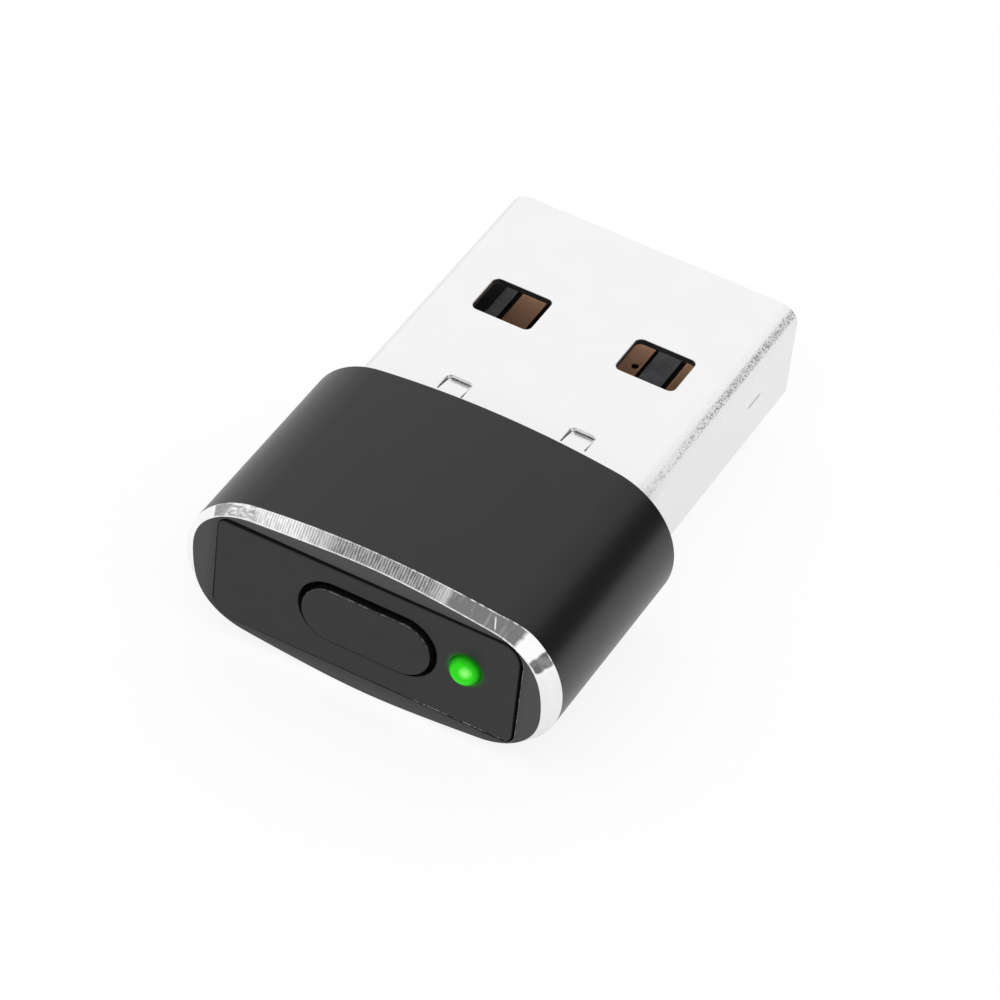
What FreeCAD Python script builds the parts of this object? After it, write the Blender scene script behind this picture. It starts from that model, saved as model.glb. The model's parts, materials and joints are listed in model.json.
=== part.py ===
import FreeCAD, Part
import math
import os
import Sketcher

# A short USB-A dongle with a push button and a light, in millimetres.
# X runs to the right across the button face, Y the way the plug goes in, Z up.
# The origin is where the plug's centre line crosses the sleeve's rear face.

os.makedirs("parts", exist_ok=True)
doc = FreeCAD.newDocument("Dongle")

DIMENSIONS = {
    # sleeve: an oval extrusion with a rectangular bore
    "sleeve_side": 1.37,
    "sleeve_roof": 1.06,
    "sleeve_length": 9.04,
    "crown_radius": 34.0,
    "rim_chamfer": 0.38,
    "bore_clearance": 0.03,
    "bore_corner": 0.5,
    # plug shell: a folded sheet tube
    "plug_width": 12.0,
    "plug_height": 4.5,
    "plug_reach": 12.4,
    "shell_tail": 2.2,
    "sheet_thickness": 0.3,
    "bend_radius": 0.78,
    "tip_round": 0.1,
    "window_width": 2.4,
    "window_length": 2.0,
    "window_spacing": 5.9,
    "window_reach": 6.67,
    "window_corner": 0.25,
    "tab_width": 0.92,
    "tab_length": 0.86,
    "tab_drop": 0.2,
    "tab_gap": 0.04,
    "tab_spacing": 5.0,
    "tab_reach": 1.1,
    "slit_length": 1.05,
    "slit_width": 0.08,
    "slit_reach": 9.15,
    "slit_lift": 0.19,
    "seam_gap": 0.06,
    "seam_start": 3.4,
    "seam_length": 1.8,
    "seam_depth": 1.0,
    "seam_flare": 0.4,
    # insulator: tongue and rear block, one moulding
    "insulator_clearance": 0.03,
    "free_height": 1.95,
    "tongue_setback": 0.7,
    "tongue_width": 9.3,
    "tongue_step": 1.0,
    "block_front": 2.4,
    "block_tail": 1.3,
    # contacts
    "contact_width": 1.0,
    "contact_thickness": 0.25,
    "contact_proud": 0.05,
    "power_clearance": 0.22,
    "data_clearance": 0.1,
    "power_spacing": 6.86,
    "data_spacing": 2.3,
    "power_setback": 1.4,
    "data_setback": 2.4,
    "contact_bend": 0.3,
    "contact_tail": 0.75,
    "core_hole": 0.28,
    "core_hole_reach": 8.5,
    "core_hole_offset": 0.27,
    # housing and its lid
    "panel_proud": 0.06,
    "panel_step": 0.07,
    "panel_offset": -0.03,
    "panel_lip": 0.45,
    "panel_corner": 0.27,
    "front_wall": 0.8,
    "floor_wall": 0.5,
    "side_wall": 1.05,
    "lid_ledge": 0.25,
    "board_ledge": 0.7,
    "lid_clearance": 0.03,
    "housing_gap": 0.05,
    "rib_width": 0.25,
    "rib_length": 3.2,
    "rib_clearance": 0.05,
    # circuit board
    "board_thickness": 0.6,
    "board_front_gap": 0.23,
    "board_clearance": 0.05,
    "board_corner": 0.3,
    # button
    "button_left_margin": 3.54,
    "button_top_margin": 0.995,
    "button_base_margin": 1.255,
    "button_lens_gap": 0.72,
    "button_proud": 0.16,
    "button_clearance": 0.2,
    "button_fillet": 0.08,
    "flange_overhang": 0.36,
    "flange_thickness": 0.45,
    "flange_gap": 0.02,
    "boss_width": 2.2,
    "boss_height": 1.0,
    "boss_length": 0.15,
    # light pipe and light
    "lens_diameter": 1.16,
    "lens_proud": 0.03,
    "lens_dome": 0.15,
    "lens_side_margin": 2.07,
    "lens_lift": 0.28,
    "lens_clearance": 0.02,
    "lens_flange_radius": 0.8,
    "lens_flange_thickness": 0.3,
    "led_width": 1.6,
    "led_depth": 0.8,
    "led_height": 1.3,
    "led_standoff": 0.05,
    "led_gap": 0.12,
    "led_dome_radius": 0.32,
    # side-push switch
    "switch_width": 4.0,
    "switch_depth": 2.0,
    "switch_height": 1.5,
    "cover_sheet": 0.12,
    "cover_skirt": 1.5,
    "cavity_width": 2.6,
    "cavity_height": 0.9,
    "cavity_depth": 1.3,
    "plunger_width": 1.8,
    "plunger_height": 0.7,
    "plunger_clearance": 0.05,
    "plunger_stand": 0.66,
    "plunger_collar": 0.35,
    "nub_width": 0.9,
    "nub_height": 0.5,
    "switch_travel": 0.25,
    "dome_sheet": 0.06,
    "dome_clearance": 0.05,
    "rest_gap": 0.02,
    "terminal_width": 0.6,
    "terminal_foot": 0.6,
    "terminal_rise": 0.6,
    "terminal_spacing": 2.6,
    # chips
    "chip_side": 3.0,
    "chip_floor_gap": 0.09,
    "chip_standoff": 0.06,
    "chip_offset": -1.0,
    "chip_reach": 4.3,
    "pad_pitch": 0.5,
    "pad_width": 0.25,
    "pad_length": 0.4,
    "capacitor_length": 1.6,
    "capacitor_width": 0.8,
    "capacitor_height": 0.8,
    "capacitor_margin": 1.2,
    "resistor_length": 1.0,
    "resistor_width": 0.5,
    "resistor_height": 0.35,
    "resistor_margin": 1.75,
    "resistor_spacing": 0.85,
    "resistor_rows": 1.2,
    "end_cap": 0.22,
    "passive_gap": 0.275,
    "capacitor_spacing": 1.8,
    "solder_length": 0.35,
    "solder_height": 0.2,
}
PADS_A_SIDE = 4


def text_of(size):
    return size.text if isinstance(size, Size) else repr(size)


def value_of(size):
    return size.value if isinstance(size, Size) else float(size)


class Size:
    """A length that knows both its spreadsheet expression and its present value."""

    def __init__(self, text, value):
        self.text = text
        self.value = value

    def join(self, sign, other, value, swapped=False):
        left, right = (text_of(other), self.text) if swapped else (self.text, text_of(other))
        return Size(f"({left} {sign} {right})", value)

    def __add__(self, other):
        return self.join("+", other, self.value + value_of(other))

    def __radd__(self, other):
        return self.join("+", other, value_of(other) + self.value, swapped=True)

    def __sub__(self, other):
        return self.join("-", other, self.value - value_of(other))

    def __rsub__(self, other):
        return self.join("-", other, value_of(other) - self.value, swapped=True)

    def __mul__(self, other):
        return self.join("*", other, self.value * value_of(other))

    __rmul__ = __mul__

    def __truediv__(self, other):
        return self.join("/", other, self.value / value_of(other))

    def __neg__(self):
        return Size(f"(0 - {self.text})", -self.value)


def write_sheet():
    """Fill the driving sheet and return each of its cells as a Size."""
    sheet = doc.addObject("Spreadsheet::Sheet", "Dimensions")
    sizes = {}
    for row, (name, number) in enumerate(DIMENSIONS.items(), start=1):
        sheet.set(f"A{row}", name)
        sheet.set(f"B{row}", str(number))
        sheet.setAlias(f"B{row}", name)
        sizes[name] = Size(f"Dimensions.{name}", number)
    doc.recompute()
    return sizes


S = write_sheet()
CENTRE = Size("0", 0.0)


def bind(item, prop, size):
    """Tie a property to a size, or set it where the size is a plain number."""
    if isinstance(size, Size):
        item.setExpression(prop, size.text)
    else:
        setattr(item, prop, size)


# ---- sketches -------------------------------------------------------------------------------------------

def attach(body, role, offset):
    sketch = body.newObject("Sketcher::SketchObject", body.Name + "_sketch")
    plane = next(p for p in body.Origin.OriginFeatures if p.Role == role)
    sketch.AttachmentSupport = [(plane, "")]
    sketch.MapMode = "FlatFace"
    bind(sketch, "AttachmentOffset.Base.z", offset)
    return sketch


def front_sketch(body, reach):
    """A sketch seen from the button side: X to the right, Z up, lying at this reach along Y."""
    return attach(body, "XZ_Plane", -reach)


def plan_sketch(body, height):
    return attach(body, "XY_Plane", height)


def side_sketch(body, offset):
    """A sketch seen from the right: Y to the right, Z up, lying at this offset along X."""
    return attach(body, "YZ_Plane", offset)


def hold(sketch, kind, geometry, point, size):
    index = sketch.addConstraint(Sketcher.Constraint(kind, -1, 1, geometry, point, value_of(size)))
    sketch.setExpression(f"Constraints[{index}]", text_of(size))


def place(sketch, geometry, point, across, up):
    """Tie a point to its two distances from the sketch's origin."""
    hold(sketch, "DistanceX", geometry, point, across)
    hold(sketch, "DistanceY", geometry, point, up)


def hold_radius(sketch, geometry, size):
    index = sketch.addConstraint(Sketcher.Constraint("Radius", geometry, value_of(size)))
    sketch.setExpression(f"Constraints[{index}]", text_of(size))


def point(across, up):
    return FreeCAD.Vector(value_of(across), value_of(up), 0)


def polygon(sketch, corners):
    """A closed outline of straight lines through these corners."""
    first = sketch.GeometryCount
    count = len(corners)
    for start, end in zip(corners, corners[1:] + corners[:1]):
        sketch.addGeometry(Part.LineSegment(point(*start), point(*end)), False)
    for index in range(count):
        following = first + (index + 1) % count
        sketch.addConstraint(Sketcher.Constraint("Coincident", first + index, 2, following, 1))
    for index, corner in enumerate(corners):
        place(sketch, first + index, 1, *corner)


def rectangle(sketch, left, right, low, high):
    polygon(sketch, [(left, low), (right, low), (right, high), (left, high)])


def centred_rectangle(sketch, across, up, width, height):
    rectangle(sketch, across - width / 2, across + width / 2, up - height / 2, up + height / 2)


def circle(sketch, across, up, radius):
    disc = Part.Circle(point(across, up), FreeCAD.Vector(0, 0, 1), value_of(radius))
    index = sketch.addGeometry(disc, False)
    place(sketch, index, 3, across, up)
    hold_radius(sketch, index, radius)


def add_arc(sketch, across, up, radius, start, end):
    """An arc about a centre, from one whole number of quarter turns to another."""
    quarter = math.pi / 2
    disc = Part.Circle(point(across, up), FreeCAD.Vector(0, 0, 1), value_of(radius))
    return sketch.addGeometry(Part.ArcOfCircle(disc, start * quarter, end * quarter), False)


def rounded_rectangle(sketch, across, up, width, height, radius):
    """A rectangle about a centre with tangent arcs at its corners."""
    reach, rise = width / 2 - radius, height / 2 - radius
    centres = [(across + reach, up + rise), (across - reach, up + rise),
               (across - reach, up - rise), (across + reach, up - rise)]
    arcs = []
    for turn, centre in enumerate(centres):
        arc = add_arc(sketch, *centre, radius, turn, turn + 1)
        place(sketch, arc, 3, *centre)
        hold_radius(sketch, arc, radius)
        arcs.append(arc)
    for arc, following in zip(arcs, arcs[1:] + arcs[:1]):
        join_arcs(sketch, arc, following)


def join_arcs(sketch, arc, following):
    """A straight line that leaves one arc's end and meets the next arc's start, tangent to both."""
    start = sketch.Geometry[arc].EndPoint
    end = sketch.Geometry[following].StartPoint
    line = sketch.addGeometry(Part.LineSegment(start, end), False)
    sketch.addConstraint(Sketcher.Constraint("Tangent", arc, 2, line, 1))
    sketch.addConstraint(Sketcher.Constraint("Tangent", line, 2, following, 1))


def stadium(sketch, across, up, width, height):
    """A slot shape: two half circles joined by straight lines."""
    radius = height / 2
    reach = width / 2 - radius
    right = add_arc(sketch, across + reach, up, radius, -1, 1)
    left = add_arc(sketch, across - reach, up, radius, 1, 3)
    place(sketch, right, 3, across + reach, up)
    place(sketch, left, 3, across - reach, up)
    hold_radius(sketch, right, radius)
    hold_radius(sketch, left, radius)
    join_arcs(sketch, right, left)
    join_arcs(sketch, left, right)


def oval(sketch, width, height, crown):
    """Four tangent arcs: a gently crowned top and bottom, and round ends."""
    half_width, half_height, crown_radius = value_of(width) / 2, value_of(height) / 2, value_of(crown)
    end_radius = (2 * crown_radius * half_height - half_width**2 - half_height**2) / (
        2 * (crown_radius - half_width))
    end_centre = half_width - end_radius
    crown_centre = half_height - crown_radius
    lean = FreeCAD.Vector(end_centre, -crown_centre, 0).normalize() * crown_radius
    joint = FreeCAD.Vector(lean.x, lean.y + crown_centre, 0)
    signs = ((1, 1), (-1, 1), (-1, -1), (1, -1))
    joints = [FreeCAD.Vector(a * joint.x, b * joint.y, 0) for a, b in signs]
    middles = [(0, half_height), (-half_width, 0), (0, -half_height), (half_width, 0)]
    arcs = []
    for index, middle in enumerate(middles):
        start, end = joints[index], joints[(index + 1) % 4]
        arcs.append(sketch.addGeometry(Part.Arc(start, FreeCAD.Vector(*middle, 0), end), False))
    top, left, bottom, right = arcs
    constrain = lambda *terms: sketch.addConstraint(Sketcher.Constraint(*terms))
    constrain("Tangent", top, 2, left, 1)
    constrain("Coincident", left, 2, bottom, 1)
    constrain("Coincident", bottom, 2, right, 1)
    constrain("Coincident", right, 2, top, 1)
    constrain("Symmetric", top, 1, top, 2, -2)
    constrain("Symmetric", top, 2, bottom, 1, -1)
    constrain("Symmetric", bottom, 1, bottom, 2, -2)
    constrain("Equal", top, bottom)
    constrain("Equal", left, right)
    hold_radius(sketch, top, crown)
    hold(sketch, "DistanceY", top, 3, height / 2 - crown)
    end = sketch.addGeometry(Part.Point(FreeCAD.Vector(half_width, 0, 0)), True)
    constrain("PointOnObject", end, 1, -1)
    constrain("PointOnObject", end, 1, right)
    hold(sketch, "DistanceX", end, 1, width / 2)


# ---- features -------------------------------------------------------------------------------------------

def new_body(name):
    body = doc.addObject("PartDesign::Body", name)
    body.Label = name
    return body


def feature(body, kind, profile, length, reverse):
    item = body.newObject("PartDesign::" + kind, f"{body.Name}_{kind}")
    item.Profile = profile
    item.Reversed = reverse
    bind(item, "Length", length)
    return item


def pad(body, profile, length, reverse=False):
    """Add material along the sketch's normal: -Y from a front sketch, +Z from a plan, +X from a side."""
    return feature(body, "Pad", profile, length, reverse)


def pocket(body, profile, length, reverse=False):
    """Cut against the sketch's normal: +Y from a front sketch, -Z from a plan, -X from a side."""
    return feature(body, "Pocket", profile, length, reverse)


def box(name, left, right, near, far, low, high):
    """A Part box between two limits on each axis."""
    item = doc.addObject("Part::Box", name)
    item.Label = name
    bind(item, "Length", right - left)
    bind(item, "Width", far - near)
    bind(item, "Height", high - low)
    bind(item, "Placement.Base.x", left)
    bind(item, "Placement.Base.y", near)
    bind(item, "Placement.Base.z", low)
    return item


def group(name, solids):
    """Separate solids that share one node."""
    item = doc.addObject("Part::Compound", name)
    item.Label = name
    item.Links = solids
    return item


def on_flat_face(shape, axis, position):
    """Names of the edges that lie in one plane across an axis."""
    names = []
    for index, edge in enumerate(shape.Edges, start=1):
        box_of_edge = edge.BoundBox
        low = getattr(box_of_edge, axis + "Min")
        high = getattr(box_of_edge, axis + "Max")
        if abs(low - position) < 1e-5 and abs(high - position) < 1e-5:
            names.append(f"Edge{index}")
    return names


# ---- places that several pieces share -------------------------------------------------------------------

bore_width = S["plug_width"] + S["bore_clearance"] * 2
bore_height = S["plug_height"] + S["bore_clearance"] * 2
half_plug_height = S["plug_height"] / 2
half_plug_width = S["plug_width"] / 2
shell_inner_top = half_plug_height - S["sheet_thickness"]
tongue_top = shell_inner_top - S["free_height"]
tongue_tip = S["plug_reach"] - S["tongue_setback"]
contact_top = tongue_top + S["contact_proud"]
contact_base = contact_top - S["contact_thickness"]
board_top = contact_base - S["contact_bend"]
board_base = board_top - S["board_thickness"]
board_rear = -S["block_tail"] - S["board_clearance"]
contact_knee = board_rear + S["board_clearance"] - S["contact_thickness"] / 2
contact_heel = contact_knee - S["contact_bend"]
contact_end = contact_heel - S["contact_tail"]
solder_end = contact_end - S["solder_length"]
tab_end = S["tab_reach"] + S["tab_length"]

panel_face = -S["sleeve_length"] - S["panel_proud"]
wall_back = panel_face + S["front_wall"]
housing_rear = -S["shell_tail"] - S["housing_gap"]
floor_top = S["floor_wall"] - half_plug_height
lid_base = half_plug_height - S["floor_wall"]
case_half_width = half_plug_width - S["side_wall"]
lid_recess_half = case_half_width + S["lid_ledge"]
channel_half = case_half_width - S["board_ledge"]

lens_offset = half_plug_width - S["lens_side_margin"]
button_left = S["button_left_margin"] - half_plug_width
button_right = lens_offset - S["lens_diameter"] / 2 - S["button_lens_gap"]
button_width = button_right - button_left
button_offset = (button_left + button_right) / 2
button_height = S["plug_height"] - S["button_top_margin"] - S["button_base_margin"]
button_lift = (S["button_base_margin"] - S["button_top_margin"]) / 2
button_face = panel_face - S["button_proud"]
flange_front = wall_back + S["flange_gap"]
flange_back = flange_front + S["flange_thickness"]
boss_back = flange_back + S["boss_length"]
board_front = boss_back + S["board_front_gap"]
plunger_tip = boss_back + S["rest_gap"]
cover_face = plunger_tip + S["plunger_stand"]
switch_front = cover_face + S["cover_sheet"]
switch_rear = switch_front + S["switch_depth"]
switch_left = button_offset - S["switch_width"] / 2
switch_right = button_offset + S["switch_width"] / 2
cavity_rear = switch_front + S["cavity_depth"]
dome_rise = S["switch_travel"] + S["dome_sheet"] + S["dome_clearance"]
dome_apex = cavity_rear - dome_rise

TABS = (-S["tab_spacing"] / 2, S["tab_spacing"] / 2)
WINDOWS = (-S["window_spacing"] / 2, S["window_spacing"] / 2)


# ---- sleeve and plug ------------------------------------------------------------------------------------

def make_sleeve():
    body = new_body("sleeve")
    outline = front_sketch(body, CENTRE)
    width = bore_width + S["sleeve_side"] * 2
    height = bore_height + S["sleeve_roof"] * 2
    oval(outline, width, height, S["crown_radius"])
    blank = pad(body, outline, S["sleeve_length"])
    doc.recompute()
    rim = body.newObject("PartDesign::Chamfer", "sleeve_rim")
    rim.Base = (blank, on_flat_face(blank.Shape, "Y", -S["sleeve_length"].value))
    bind(rim, "Size", S["rim_chamfer"])
    bore = front_sketch(body, -S["sleeve_length"])
    rounded_rectangle(bore, CENTRE, CENTRE, bore_width, bore_height, S["bore_corner"])
    pocket(body, bore, S["sleeve_length"])
    return body


def cut_tip_corners(body):
    """Round the shell's two tip corners as seen from above."""
    for side in (-1, 1):
        corner = half_plug_width * side
        inner = corner - S["tip_round"] * side
        tip = S["plug_reach"]
        shoulder = tip - S["tip_round"]
        cutter = plan_sketch(body, half_plug_height)
        start = 0 if side > 0 else 1
        arc = add_arc(cutter, inner, shoulder, S["tip_round"], start, start + 1)
        place(cutter, arc, 3, inner, shoulder)
        hold_radius(cutter, arc, S["tip_round"])
        first, last = (1, 2) if side > 0 else (2, 1)
        along = cutter.addGeometry(Part.LineSegment(point(corner, shoulder), point(corner, tip)), False)
        across = cutter.addGeometry(Part.LineSegment(point(corner, tip), point(inner, tip)), False)
        cutter.addConstraint(Sketcher.Constraint("Tangent", along, 1, arc, first))
        cutter.addConstraint(Sketcher.Constraint("Coincident", along, 2, across, 1))
        cutter.addConstraint(Sketcher.Constraint("Tangent", across, 2, arc, last))
        pocket(body, cutter, S["plug_height"])


def cut_windows(body):
    openings = plan_sketch(body, half_plug_height)
    for across in WINDOWS:
        rounded_rectangle(openings, across, S["window_reach"], S["window_width"], S["window_length"],
                          S["window_corner"])
    pocket(body, openings, S["plug_height"])


def cut_side_slits(body):
    slit = side_sketch(body, half_plug_width)
    centred_rectangle(slit, S["slit_reach"], S["slit_lift"], S["slit_length"], S["slit_width"])
    pocket(body, slit, S["plug_width"])


def cut_seam(body):
    """A dovetailed seam along the underside, where the folded sheet's two edges meet."""
    near, far = S["seam_start"], S["seam_start"] + S["seam_length"]
    gap = S["seam_gap"]
    flare = S["seam_flare"]
    depth = S["seam_depth"]
    seam = plan_sketch(body, -shell_inner_top)
    half = gap / 2
    rear, tip = -S["shell_tail"], S["plug_reach"]
    polygon(seam, [
        (-half, rear), (half, rear), (half, near - gap), (depth + gap, near - flare - gap),
        (depth + gap, far + flare + gap), (half, far + gap), (half, tip), (-half, tip),
        (-half, far), (depth, far + flare), (depth, near - flare), (-half, near)])
    pocket(body, seam, S["sheet_thickness"])


def add_locking_tabs(body):
    """Two tongues, cut free on three sides and pressed inward, that lock the insulator in the shell."""
    hinge = S["tab_reach"]
    root = hinge - S["sheet_thickness"] / 2
    gap, drop = S["tab_gap"], S["tab_drop"]
    for across in TABS:
        opening = plan_sketch(body, half_plug_height)
        half = S["tab_width"] / 2 + gap
        rectangle(opening, across - half, across + half, hinge, tab_end + gap)
        pocket(body, opening, S["sheet_thickness"])
        tongue = side_sketch(body, across - S["tab_width"] / 2)
        polygon(tongue, [
            (root, shell_inner_top), (root, half_plug_height), (hinge, half_plug_height),
            (tab_end, half_plug_height - drop), (tab_end, shell_inner_top - drop), (hinge, shell_inner_top)])
        pad(body, tongue, S["tab_width"])


def make_plug_shell():
    body = new_body("plug_shell")
    length = S["plug_reach"] + S["shell_tail"]
    outline = front_sketch(body, S["plug_reach"])
    rounded_rectangle(outline, CENTRE, CENTRE, S["plug_width"], S["plug_height"], S["bend_radius"])
    pad(body, outline, length)
    hollow = front_sketch(body, -S["shell_tail"])
    wall = S["sheet_thickness"]
    rounded_rectangle(hollow, CENTRE, CENTRE, S["plug_width"] - wall * 2, S["plug_height"] - wall * 2,
                      S["bend_radius"] - wall)
    pocket(body, hollow, length)
    cut_tip_corners(body)
    cut_windows(body)
    cut_side_slits(body)
    cut_seam(body)
    add_locking_tabs(body)
    return body


POWER = (S["power_setback"], S["power_clearance"])
DATA = (S["data_setback"], S["data_clearance"])
CONTACTS = {
    "contact_vbus": (-S["power_spacing"] / 2, *POWER),
    "contact_dminus": (-S["data_spacing"] / 2, *DATA),
    "contact_dplus": (S["data_spacing"] / 2, *DATA),
    "contact_gnd": (S["power_spacing"] / 2, *POWER),
}


def make_plug_insulator():
    body = new_body("plug_insulator")
    inset = S["sheet_thickness"] + S["insulator_clearance"]
    half_width = half_plug_width - inset
    section = front_sketch(body, tongue_tip)
    rounded_rectangle(section, CENTRE, CENTRE, S["plug_width"] - inset * 2, S["plug_height"] - inset * 2,
                      S["bend_radius"] - inset)
    pad(body, section, tongue_tip + S["block_tail"])
    mouth = side_sketch(body, half_width)
    rectangle(mouth, S["block_front"], tongue_tip, tongue_top, half_plug_height)
    pocket(body, mouth, half_width * 2)
    steps = front_sketch(body, S["block_front"])
    low, high = tongue_top - S["tongue_step"], half_plug_height
    edge = S["tongue_width"] / 2
    rectangle(steps, -half_width, -edge, low, high)
    rectangle(steps, edge, half_width, low, high)
    pocket(body, steps, tongue_tip - S["block_front"])
    grooves = front_sketch(body, -S["block_tail"])
    for across, _, slack in CONTACTS.values():
        half = S["contact_width"] / 2 + slack
        rectangle(grooves, across - half, across + half, contact_base, contact_top + slack)
    pocket(body, grooves, tongue_tip + S["block_tail"])
    recesses = plan_sketch(body, half_plug_height)
    half = S["tab_width"] / 2 + S["tab_gap"]
    for across in TABS:
        rectangle(recesses, across - half, across + half, S["tab_reach"], tab_end + S["tab_gap"])
    pocket(body, recesses, inset + S["tab_drop"])
    return body


def make_contact(name, across, setback):
    """A strip that lies in the tongue, passes through the block and bends down to the board."""
    body = new_body(name)
    profile = side_sketch(body, across - S["contact_width"] / 2)
    tip = S["plug_reach"] - setback
    tail_top = contact_top - S["contact_bend"]
    lean = S["contact_thickness"] / 4
    polygon(profile, [
        (tip, contact_base), (tip, contact_top), (contact_knee - lean, contact_top),
        (contact_heel - lean, tail_top), (contact_end, tail_top), (contact_end, board_top),
        (contact_heel + lean, board_top), (contact_knee + lean, contact_base)])
    pad(body, profile, S["contact_width"])
    return body


def drill_core_hole(body, across):
    hole = plan_sketch(body, contact_top)
    circle(hole, across + S["core_hole_offset"], S["core_hole_reach"], S["core_hole"] / 2)
    pocket(body, hole, S["contact_thickness"])


def make_contacts():
    bodies = []
    for name, (across, setback, _) in CONTACTS.items():
        body = make_contact(name, across, setback)
        if name == "contact_dplus":
            drill_core_hole(body, across)
        bodies.append(body)
    return bodies


def make_solder_joints():
    """A wedge of solder at the end of each contact's tail."""
    wedges = []
    for name, (across, *_) in CONTACTS.items():
        wedge = doc.addObject("Part::Wedge", name.replace("contact", "solder"))
        for prop, size in {
            "Xmin": across - S["contact_width"] / 2, "Xmax": across + S["contact_width"] / 2,
            "X2min": across - S["contact_width"] / 2, "X2max": across + S["contact_width"] / 2,
            "Ymin": solder_end, "Ymax": contact_end,
            "Zmin": board_top, "Zmax": board_top + S["solder_height"] / 8,
            "Z2min": board_top, "Z2max": board_top + S["solder_height"],
        }.items():
            bind(wedge, prop, size)
        wedges.append(wedge)
    return group("solder_joints", wedges)


# ---- inner case -----------------------------------------------------------------------------------------

def make_housing():
    """The inner case. Its front wall is the panel, with a stepped edge, and its top and rear are open."""
    body = new_body("housing")
    lip_back = panel_face + S["panel_lip"]
    outline = front_sketch(body, housing_rear)
    rounded_rectangle(outline, CENTRE, CENTRE, S["plug_width"], S["plug_height"],
                      S["bore_corner"] - S["bore_clearance"])
    pad(body, outline, housing_rear - lip_back)
    lip = front_sketch(body, lip_back)
    step = S["panel_step"] * 2
    rounded_rectangle(lip, S["panel_offset"], CENTRE, S["plug_width"] - step, S["plug_height"] - step,
                      S["panel_corner"])
    pad(body, lip, S["panel_lip"])
    for half_width, low, high in (
        (channel_half, floor_top, board_base),
        (case_half_width, board_base, lid_base),
        (lid_recess_half, lid_base, half_plug_height),
    ):
        space = front_sketch(body, wall_back)
        rectangle(space, -half_width, half_width, low, high)
        pocket(body, space, housing_rear - wall_back)
    windows = front_sketch(body, panel_face)
    slack = S["button_clearance"] * 2
    stadium(windows, button_offset, button_lift, button_width + slack,
            button_height + slack)
    circle(windows, lens_offset, S["lens_lift"], S["lens_diameter"] / 2 + S["lens_clearance"])
    pocket(body, windows, S["front_wall"])
    return body


def make_housing_cover():
    """The lid, with two ribs that keep the board down on its ledges."""
    body = new_body("housing_cover")
    gap = S["lid_clearance"]
    plate = front_sketch(body, housing_rear)
    half_width = lid_recess_half - gap
    rectangle(plate, -half_width, half_width, lid_base, half_plug_height)
    pad(body, plate, housing_rear - wall_back - gap)
    ribs = front_sketch(body, housing_rear - gap)
    outer = case_half_width - S["rib_clearance"]
    inner = outer - S["rib_width"]
    low = board_top + S["rib_clearance"]
    rectangle(ribs, -outer, -inner, low, lid_base + S["floor_wall"] / 2)
    rectangle(ribs, inner, outer, low, lid_base + S["floor_wall"] / 2)
    pad(body, ribs, S["rib_length"])
    return body


def make_circuit_board():
    body = new_body("circuit_board")
    outline = plan_sketch(body, board_base)
    width = (case_half_width - S["board_clearance"]) * 2
    rounded_rectangle(outline, CENTRE, (board_front + board_rear) / 2, width, board_rear - board_front,
                      S["board_corner"])
    pad(body, outline, S["board_thickness"])
    return body


# ---- button and light -----------------------------------------------------------------------------------

def make_button():
    """The push button, held behind the panel by its flange, with a boss that meets the switch."""
    body = new_body("button")
    across, up = button_offset, button_lift
    cap = front_sketch(body, flange_front)
    stadium(cap, across, up, button_width, button_height)
    front = pad(body, cap, flange_front - button_face)
    doc.recompute()
    shoulder = body.newObject("PartDesign::Fillet", "button_shoulder")
    shoulder.Base = (front, on_flat_face(front.Shape, "Y", button_face.value))
    bind(shoulder, "Radius", S["button_fillet"])
    flange = front_sketch(body, flange_back)
    reach = S["flange_overhang"] * 2
    stadium(flange, across, up, button_width + reach, button_height + reach)
    pad(body, flange, S["flange_thickness"])
    boss = front_sketch(body, boss_back)
    centred_rectangle(boss, across, up, S["boss_width"], S["boss_height"])
    pad(body, boss, S["boss_length"])
    return body


def make_led_lens():
    """The light pipe: a flanged rod with a shallow domed end, turned about its own axis."""
    body = new_body("led_lens")
    bind(body, "Placement.Base.x", lens_offset)
    bind(body, "Placement.Base.z", S["lens_lift"])
    profile = plan_sketch(body, CENTRE)
    radius = S["lens_diameter"] / 2
    shoulder = panel_face - S["lens_proud"]
    flange_at = wall_back + S["flange_gap"]
    rear = flange_at + S["lens_flange_thickness"]
    corners = [
        (CENTRE, shoulder - S["lens_dome"]), (radius * 0.6, shoulder - S["lens_dome"] * 0.7),
        (radius, shoulder), (radius, flange_at), (S["lens_flange_radius"], flange_at),
        (S["lens_flange_radius"], rear), (CENTRE, rear)]
    polygon(profile, corners)
    turned = body.newObject("PartDesign::Revolution", "led_lens_turned")
    turned.Profile = profile
    turned.ReferenceAxis = (profile, ["V_Axis"])
    turned.Angle = 360
    return body


led_front = wall_back + S["flange_gap"] + S["lens_flange_thickness"] + S["led_gap"] + S["led_dome_radius"]
led_rear = led_front + S["led_depth"]
led_base = board_top + S["led_standoff"]
led_left = lens_offset - S["led_width"] / 2
led_right = lens_offset + S["led_width"] / 2


def make_led_package():
    """The side-facing light: a block with a small dome that looks into the light pipe."""
    block = box("led_block", led_left, led_right, led_front, led_rear, led_base, led_base + S["led_height"])
    dome = doc.addObject("Part::Sphere", "led_dome")
    bind(dome, "Radius", S["led_dome_radius"])
    bind(dome, "Placement.Base.x", lens_offset)
    bind(dome, "Placement.Base.y", led_front)
    bind(dome, "Placement.Base.z", led_base + S["led_height"] / 2)
    package = doc.addObject("Part::Fuse", "led_package")
    package.Label = "led_package"
    package.Base = block
    package.Tool = dome
    return package


def make_led_terminals():
    width = S["led_width"] / 4
    feet = [
        box("led_foot_left", led_left, led_left + width, led_front, led_rear, board_top, led_base),
        box("led_foot_right", led_right - width, led_right, led_front, led_rear, board_top, led_base),
    ]
    return group("led_terminals", feet)


# ---- switch ---------------------------------------------------------------------------------------------

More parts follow.
